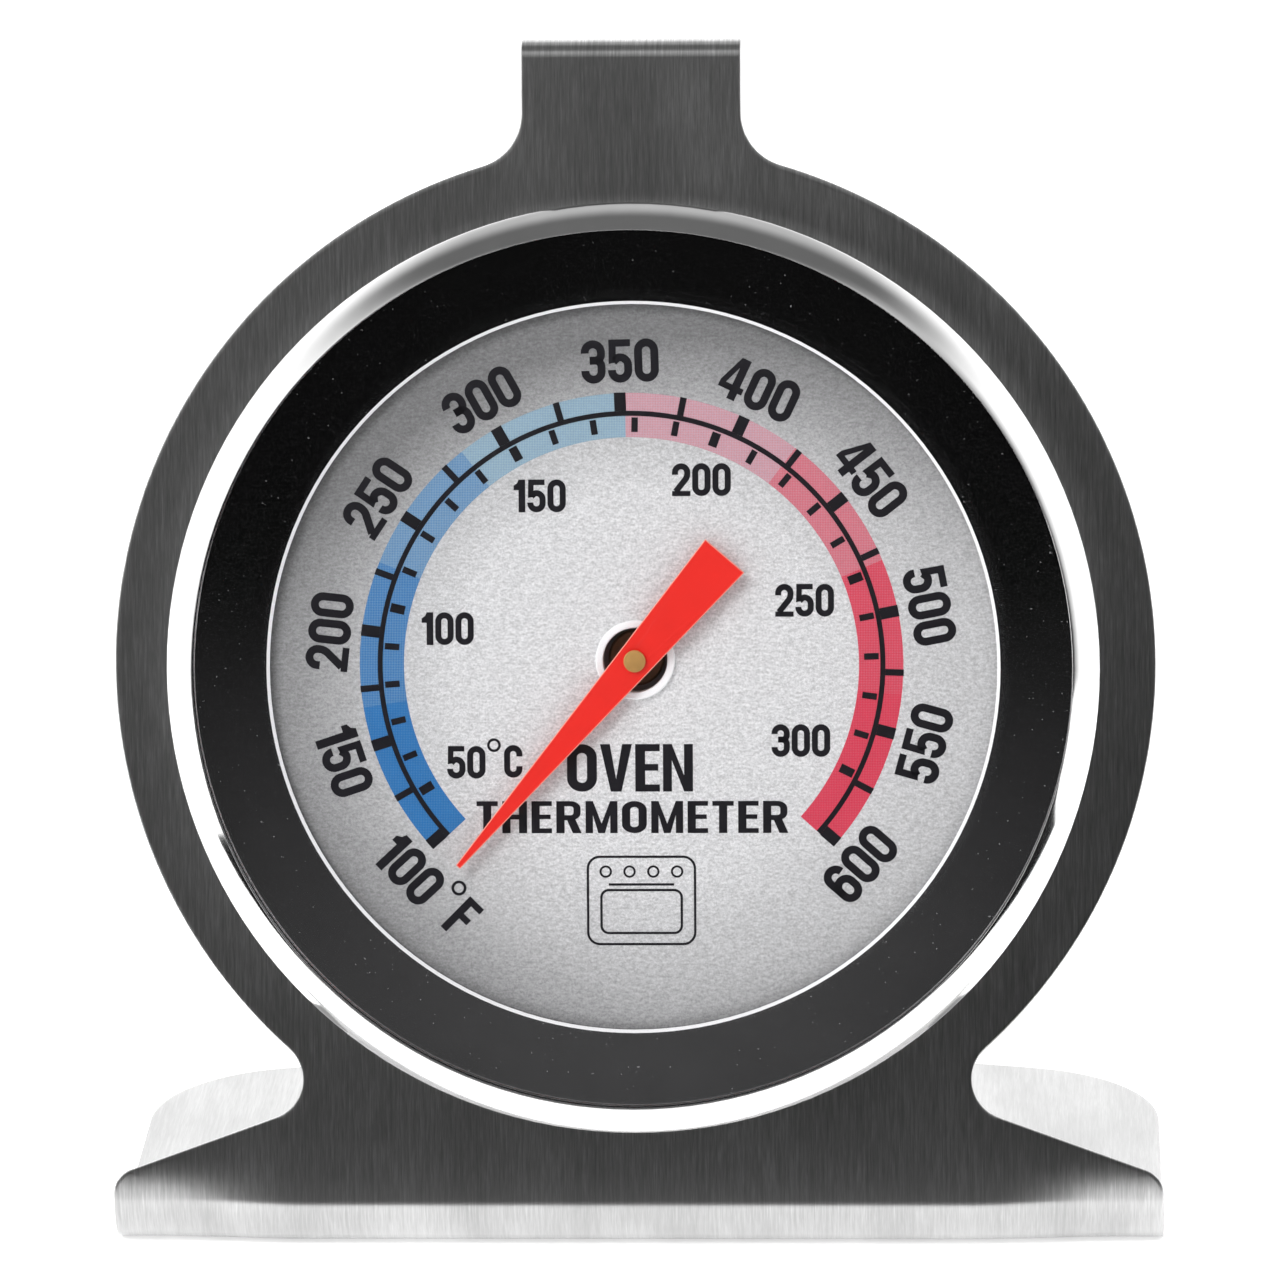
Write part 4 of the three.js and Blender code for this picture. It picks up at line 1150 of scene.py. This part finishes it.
def pointer():
    """The blade, with softened edges that carry a pale painted highlight, and its riveted brass head."""
    reach, tail = 18.3, 9.3
    tip, end = 0.19, 1.73
    thickness, round_edge, hole_radius = 0.3, 0.07, 0.42
    corners = [(-end, -tail, 0.08), (end, -tail, 0.08), (tip, reach, 0.05), (-tip, reach, 0.05)]
    outline = distinct(filleted(corners))
    turn = Matrix.Rotation(POINTER_TURN, 2)

    def place(x, y, depth):
        point = turn @ Vector((x, y))
        return (point.x, point.y, POINTER_BACK + thickness - depth)

    loops = [outline, circle(0, 0, hole_radius)[::-1]]
    vertices, faces, _ = sheet_part(loops, (), thickness, round_edge, place)
    # The blade's edge faces take the pale painted highlight, and its flat faces take the red paint.
    make_piece("pointer_blade", vertices, faces, MOVING, [PAINT, EDGE_HIGHLIGHT_PAINT], ["pointer"],
               MOVEMENT, face_materials=[int(len(face) == 4) for face in faces])

    lathe("pointer_spindle", [
        (0, -8.2, 0), (0.47, -8.2, 0.1), (0.62, -8.0, 0.1), (0.62, 1.3, 0), (1.0, 1.3, 0.05),
        (1.0, 1.6, 0.05), (0.38, 1.6, 0), (0.38, 2.41, 0), (0.74, 2.41, 0.03), (0.74, 2.69, 0.07),
        (0, 2.71, 0),
    ], COARSE, MOVING, BRASS, "pointer_shaft", MOVEMENT, closed=False)


def rivet_head(name, x, y, node):
    """A domed head behind the case's floor, with its shank and its upset end inside."""
    under = CASE_BACK - 0.05
    lathe(name, [
        (0, under - 0.72, 0), (0.7, under - 0.68, 0.5), (1.3, under - 0.25, 0.4), (1.35, under, 0.05),
        (0.6, under, 0), (0.6, -6.8, 0), (1.2, -6.8, 0.05), (1.1, -6.5, 0.2), (0, -6.35, 0),
    ], 40, FIXED, PRESSED, node, MOVEMENT @ Matrix.Translation((x, y, 0)), closed=False)


def rear_boss():
    """The rear bearing, riveted into the case's floor."""
    under = CASE_BACK - 0.02
    lathe("rear_boss", [
        (0, under - 0.45, 0), (0.7, under - 0.45, 0.1), (0.9, under - 0.62, 0.1), (2.0, under - 0.6, 0.25),
        (2.4, under, 0.08), (1.5, under, 0), (1.5, -7.9, 0), (2.4, -7.9, 0.1), (2.4, -7.1, 0.15),
        (0.72, -7.1, 0.05), (0.72, -8.5, 0), (0, -8.5, 0),
    ], COARSE, FIXED, BRASS, "rear_bearing", MOVEMENT, closed=False)


def spiral():
    """The bimetal spiral: a strip wound flat, with bevelled edges."""
    turns, inner, outer, back = 4.5, 2.2, 8.6, -6.2
    half, width, bevel = 0.15, 3.0, 0.06
    steps = int(turns * 72)
    section = [(-half, bevel), (bevel - half, 0), (half - bevel, 0), (half, bevel)]
    section += [(-across, width - rise) for across, rise in section]
    vertices = []
    faces = []
    for i in range(steps + 1):
        along = i / steps
        angle = -math.pi / 2 + (along - 1) * turns * 2 * math.pi
        radius = inner + (outer - inner) * along
        for across, rise in section:
            reach = radius + across
            vertices.append((reach * math.cos(angle), reach * math.sin(angle), back + rise))
    count = len(section)
    for i in range(steps):
        for k in range(count):
            n = (k + 1) % count
            a, b = i * count, (i + 1) * count
            faces.append((a + k, b + k, b + n, a + n))
    faces.append(tuple(range(count)))
    faces.append(tuple(reversed(range(steps * count, steps * count + count))))
    make_piece("bimetal_spiral", vertices, faces, FIXED, BIMETAL, ["bimetal_coil"], MOVEMENT)


def dress_inner_nodes():
    """Materials for the CAD nodes that are shown as they are."""
    finishes = {
        "movement_bridge": PRESSED, "coil_anchor": PRESSED, "shaft_retainer": PRESSED,
        # The front bearing's darker brass is painted shade of the hole it sits in.
        "front_bearing": SHADED_BRASS, "coil_end_rivet": BRASS, "pointer_washer": PRESSED, "coil_collet": BRASS,
    }
    for node, finish in finishes.items():
        shown = frame["nodes"][node]
        shown.data.materials.clear()
        shown.data.materials.append(finish)
        soften = shown.modifiers.new("soft_edges", "BEVEL")
        soften.width = SOFT_EDGE * MM
        soften.segments = 2
        soften.limit_method = "ANGLE"
        soften.angle_limit = math.radians(40)


# ---------------------------------------------------------------- studio

WHITE = (1, 1, 1, 1)


def light_tent():
    """A white tent with a dark opening in front of the dial and a dim roof. A world direction's y runs away
    from the camera and its z upwards. The camera itself sees plain white."""
    world = bpy.data.worlds.new("tent")
    bpy.context.scene.world = world
    world.use_nodes = True
    tree = world.node_tree
    nodes = tree.nodes
    background = nodes["Background"]
    background.inputs["Color"].default_value = WHITE

    def calc(operation, a, b=0.0):
        return math_node(tree, operation, a, b)

    def times(a, b):
        return calc("MULTIPLY", a, b)

    def but(value):
        return calc("SUBTRACT", 1.0, value)

    def ease(value, low, high):
        node = nodes.new("ShaderNodeMapRange")
        node.interpolation_type = "SMOOTHSTEP"
        for key, entry in (("Value", value), ("From Min", low), ("From Max", high)):
            feed(tree, entry, node.inputs[key])
        return node.outputs["Result"]

    def between(value, ratio, low, high):
        """How far a direction has gone from one angle to another, in degrees."""
        return ease(value, ratio(math.radians(low)), ratio(math.radians(high)))

    coordinates = nodes.new("ShaderNodeTexCoord").outputs["Generated"]
    split = nodes.new("ShaderNodeSeparateXYZ")
    feed(tree, coordinates, split.inputs[0])
    x, y, z = split.outputs
    aside = calc("DIVIDE", x, calc("MAXIMUM", times(y, -1.0), 0.001))
    left_edge = between(times(aside, -1.0), math.tan, 24, 52)
    right_edge = between(aside, math.tan, 50, 70)
    opening = times(but(left_edge), but(right_edge))
    opening = times(opening, but(between(z, math.sin, 38, 65)))
    roof = times(between(z, math.sin, 34, 60), but(times(ease(y, 0.0, 0.4), 0.32)))
    walls = calc("ADD", 1.2, times(but(calc("ABSOLUTE", y)), 0.2))
    walls = calc("ADD", walls, times(calc("MAXIMUM", y, 0.0), 0.35))
    roof_level, dusk_level, horizon = 0.16, 0.95, math.sin(math.radians(5.5))
    tent = calc("ADD", times(walls, but(roof)), times(roof_level, roof))
    dusk = times(dusk_level, calc("MAXIMUM", calc("SUBTRACT", z, horizon), 0.003))
    lit = calc("ADD", times(tent, but(opening)), times(dusk, opening))
    camera_ray = nodes.new("ShaderNodeLightPath").outputs["Is Camera Ray"]
    feed(tree, calc("MAXIMUM", lit, camera_ray), background.inputs["Strength"])


def matt_plane(name, corners, height, paint, shade, **finish):
    """A flat, matt plane of one even grey through four (x, y) corners, in metres."""
    mesh = bpy.data.meshes.new(name)
    mesh.from_pydata([(x, y, 0) for x, y in corners], [], [(0, 1, 2, 3)])
    plane = bpy.data.objects.new(name, mesh)
    plane.location.z = height
    bpy.context.scene.collection.objects.link(plane)
    shader = Shader(paint, Base_Color=(*grey(shade), 1), Specular_IOR_Level=0.0, **finish)
    mesh.materials.append(shader.material)
    return plane


def panel(name, place, aim, size, power):
    """A square lamp that no mirror and no camera sees."""
    light = bpy.data.lights.new(name, "AREA")
    light.shape = "RECTANGLE"
    light.size = light.size_y = size
    light.energy = power
    lamp = bpy.data.objects.new(name, light)
    lamp.location = place
    lamp.rotation_euler = (Vector(aim) - Vector(place)).to_track_quat("-Z", "Y").to_euler()
    lamp.visible_glossy = False
    lamp.visible_camera = False
    bpy.context.scene.collection.objects.link(lamp)


def studio():
    """The light tent, a pale floor, a black card and two soft lamps."""
    light_tent()
    size = 3.0
    corners = [(-size, -size), (size, -size), (size, size), (-size, size)]
    floor = matt_plane("studio_floor", corners, -0.00005, "paper", 0.93, Roughness=0.9,
                       Emission_Color=WHITE, Emission_Strength=0.45)
    floor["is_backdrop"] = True

    # A black card lies before the stand. Only reflections see it.
    near, far = -0.046, -3.0
    near_half, far_left, far_right = 0.1, 1.2, 2.4
    corners = [(-far_left, far), (far_right, far), (near_half, near), (-near_half, near)]
    card = matt_plane("black_card", corners, 0.0003, "black_card", 0.01, Roughness=1.0)
    for seen_by in ("camera", "diffuse", "transmission", "volume_scatter", "shadow"):
        setattr(card, "visible_" + seen_by, False)
    card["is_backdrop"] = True

    panel("top_panel", (0, 0.1, 1.3), (0, 0, 0), 2.4, 5)
    panel("key_panel", (-0.5, -0.75, 0.85), (0, 0, 0.04), 0.6, 11)


def camera():
    """The camera stands a little above the dial's own axis and slightly to its right, with a long lens."""
    azimuth, elevation, roll = (math.radians(angle) for angle in (2.7, 16.6, -0.9))
    distance = 0.580
    frame_width = 0.0860
    aim_aside, aim_rise = 0.00039, 0.00172
    level = math.cos(elevation)
    toward = Vector((math.sin(azimuth) * level, -math.cos(azimuth) * level, math.sin(elevation)))
    turn = toward.to_track_quat("Z", "Y") @ Matrix.Rotation(roll, 4, "Z").to_quaternion()
    target = MIDDLE + turn @ Vector((aim_aside, aim_rise, 0))
    lens = bpy.data.cameras.new("camera")
    lens.sensor_width = 36
    lens.lens = lens.sensor_width * distance / frame_width
    lens.clip_start = 0.01
    view = bpy.data.objects.new("camera", lens)
    view.rotation_mode = "QUATERNION"
    view.rotation_quaternion = turn
    view.location = target + toward * distance
    bpy.context.scene.collection.objects.link(view)
    bpy.context.scene.camera = view


bpy.context.scene.view_settings.view_transform = "Standard"
camera()
studio()
stand()
case()
bezel()
window()
trim()
dial()
eyelet()
scale()
numerals()
words()
pictogram()
pointer()
rivet_head("rivet_left", -RIVET_X, 0, "bridge_rivet_left")
rivet_head("rivet_right", RIVET_X, 0, "bridge_rivet_right")
rivet_head("rivet_anchor", 0, ANCHOR_RIVET_Y, "anchor_rivet")
rear_boss()
spiral()
dress_inner_nodes()

boxes = {"cad": CAD_BOX, "visual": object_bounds()}
{key: [list(corner) for corner in value] for key, value in boxes.items()}
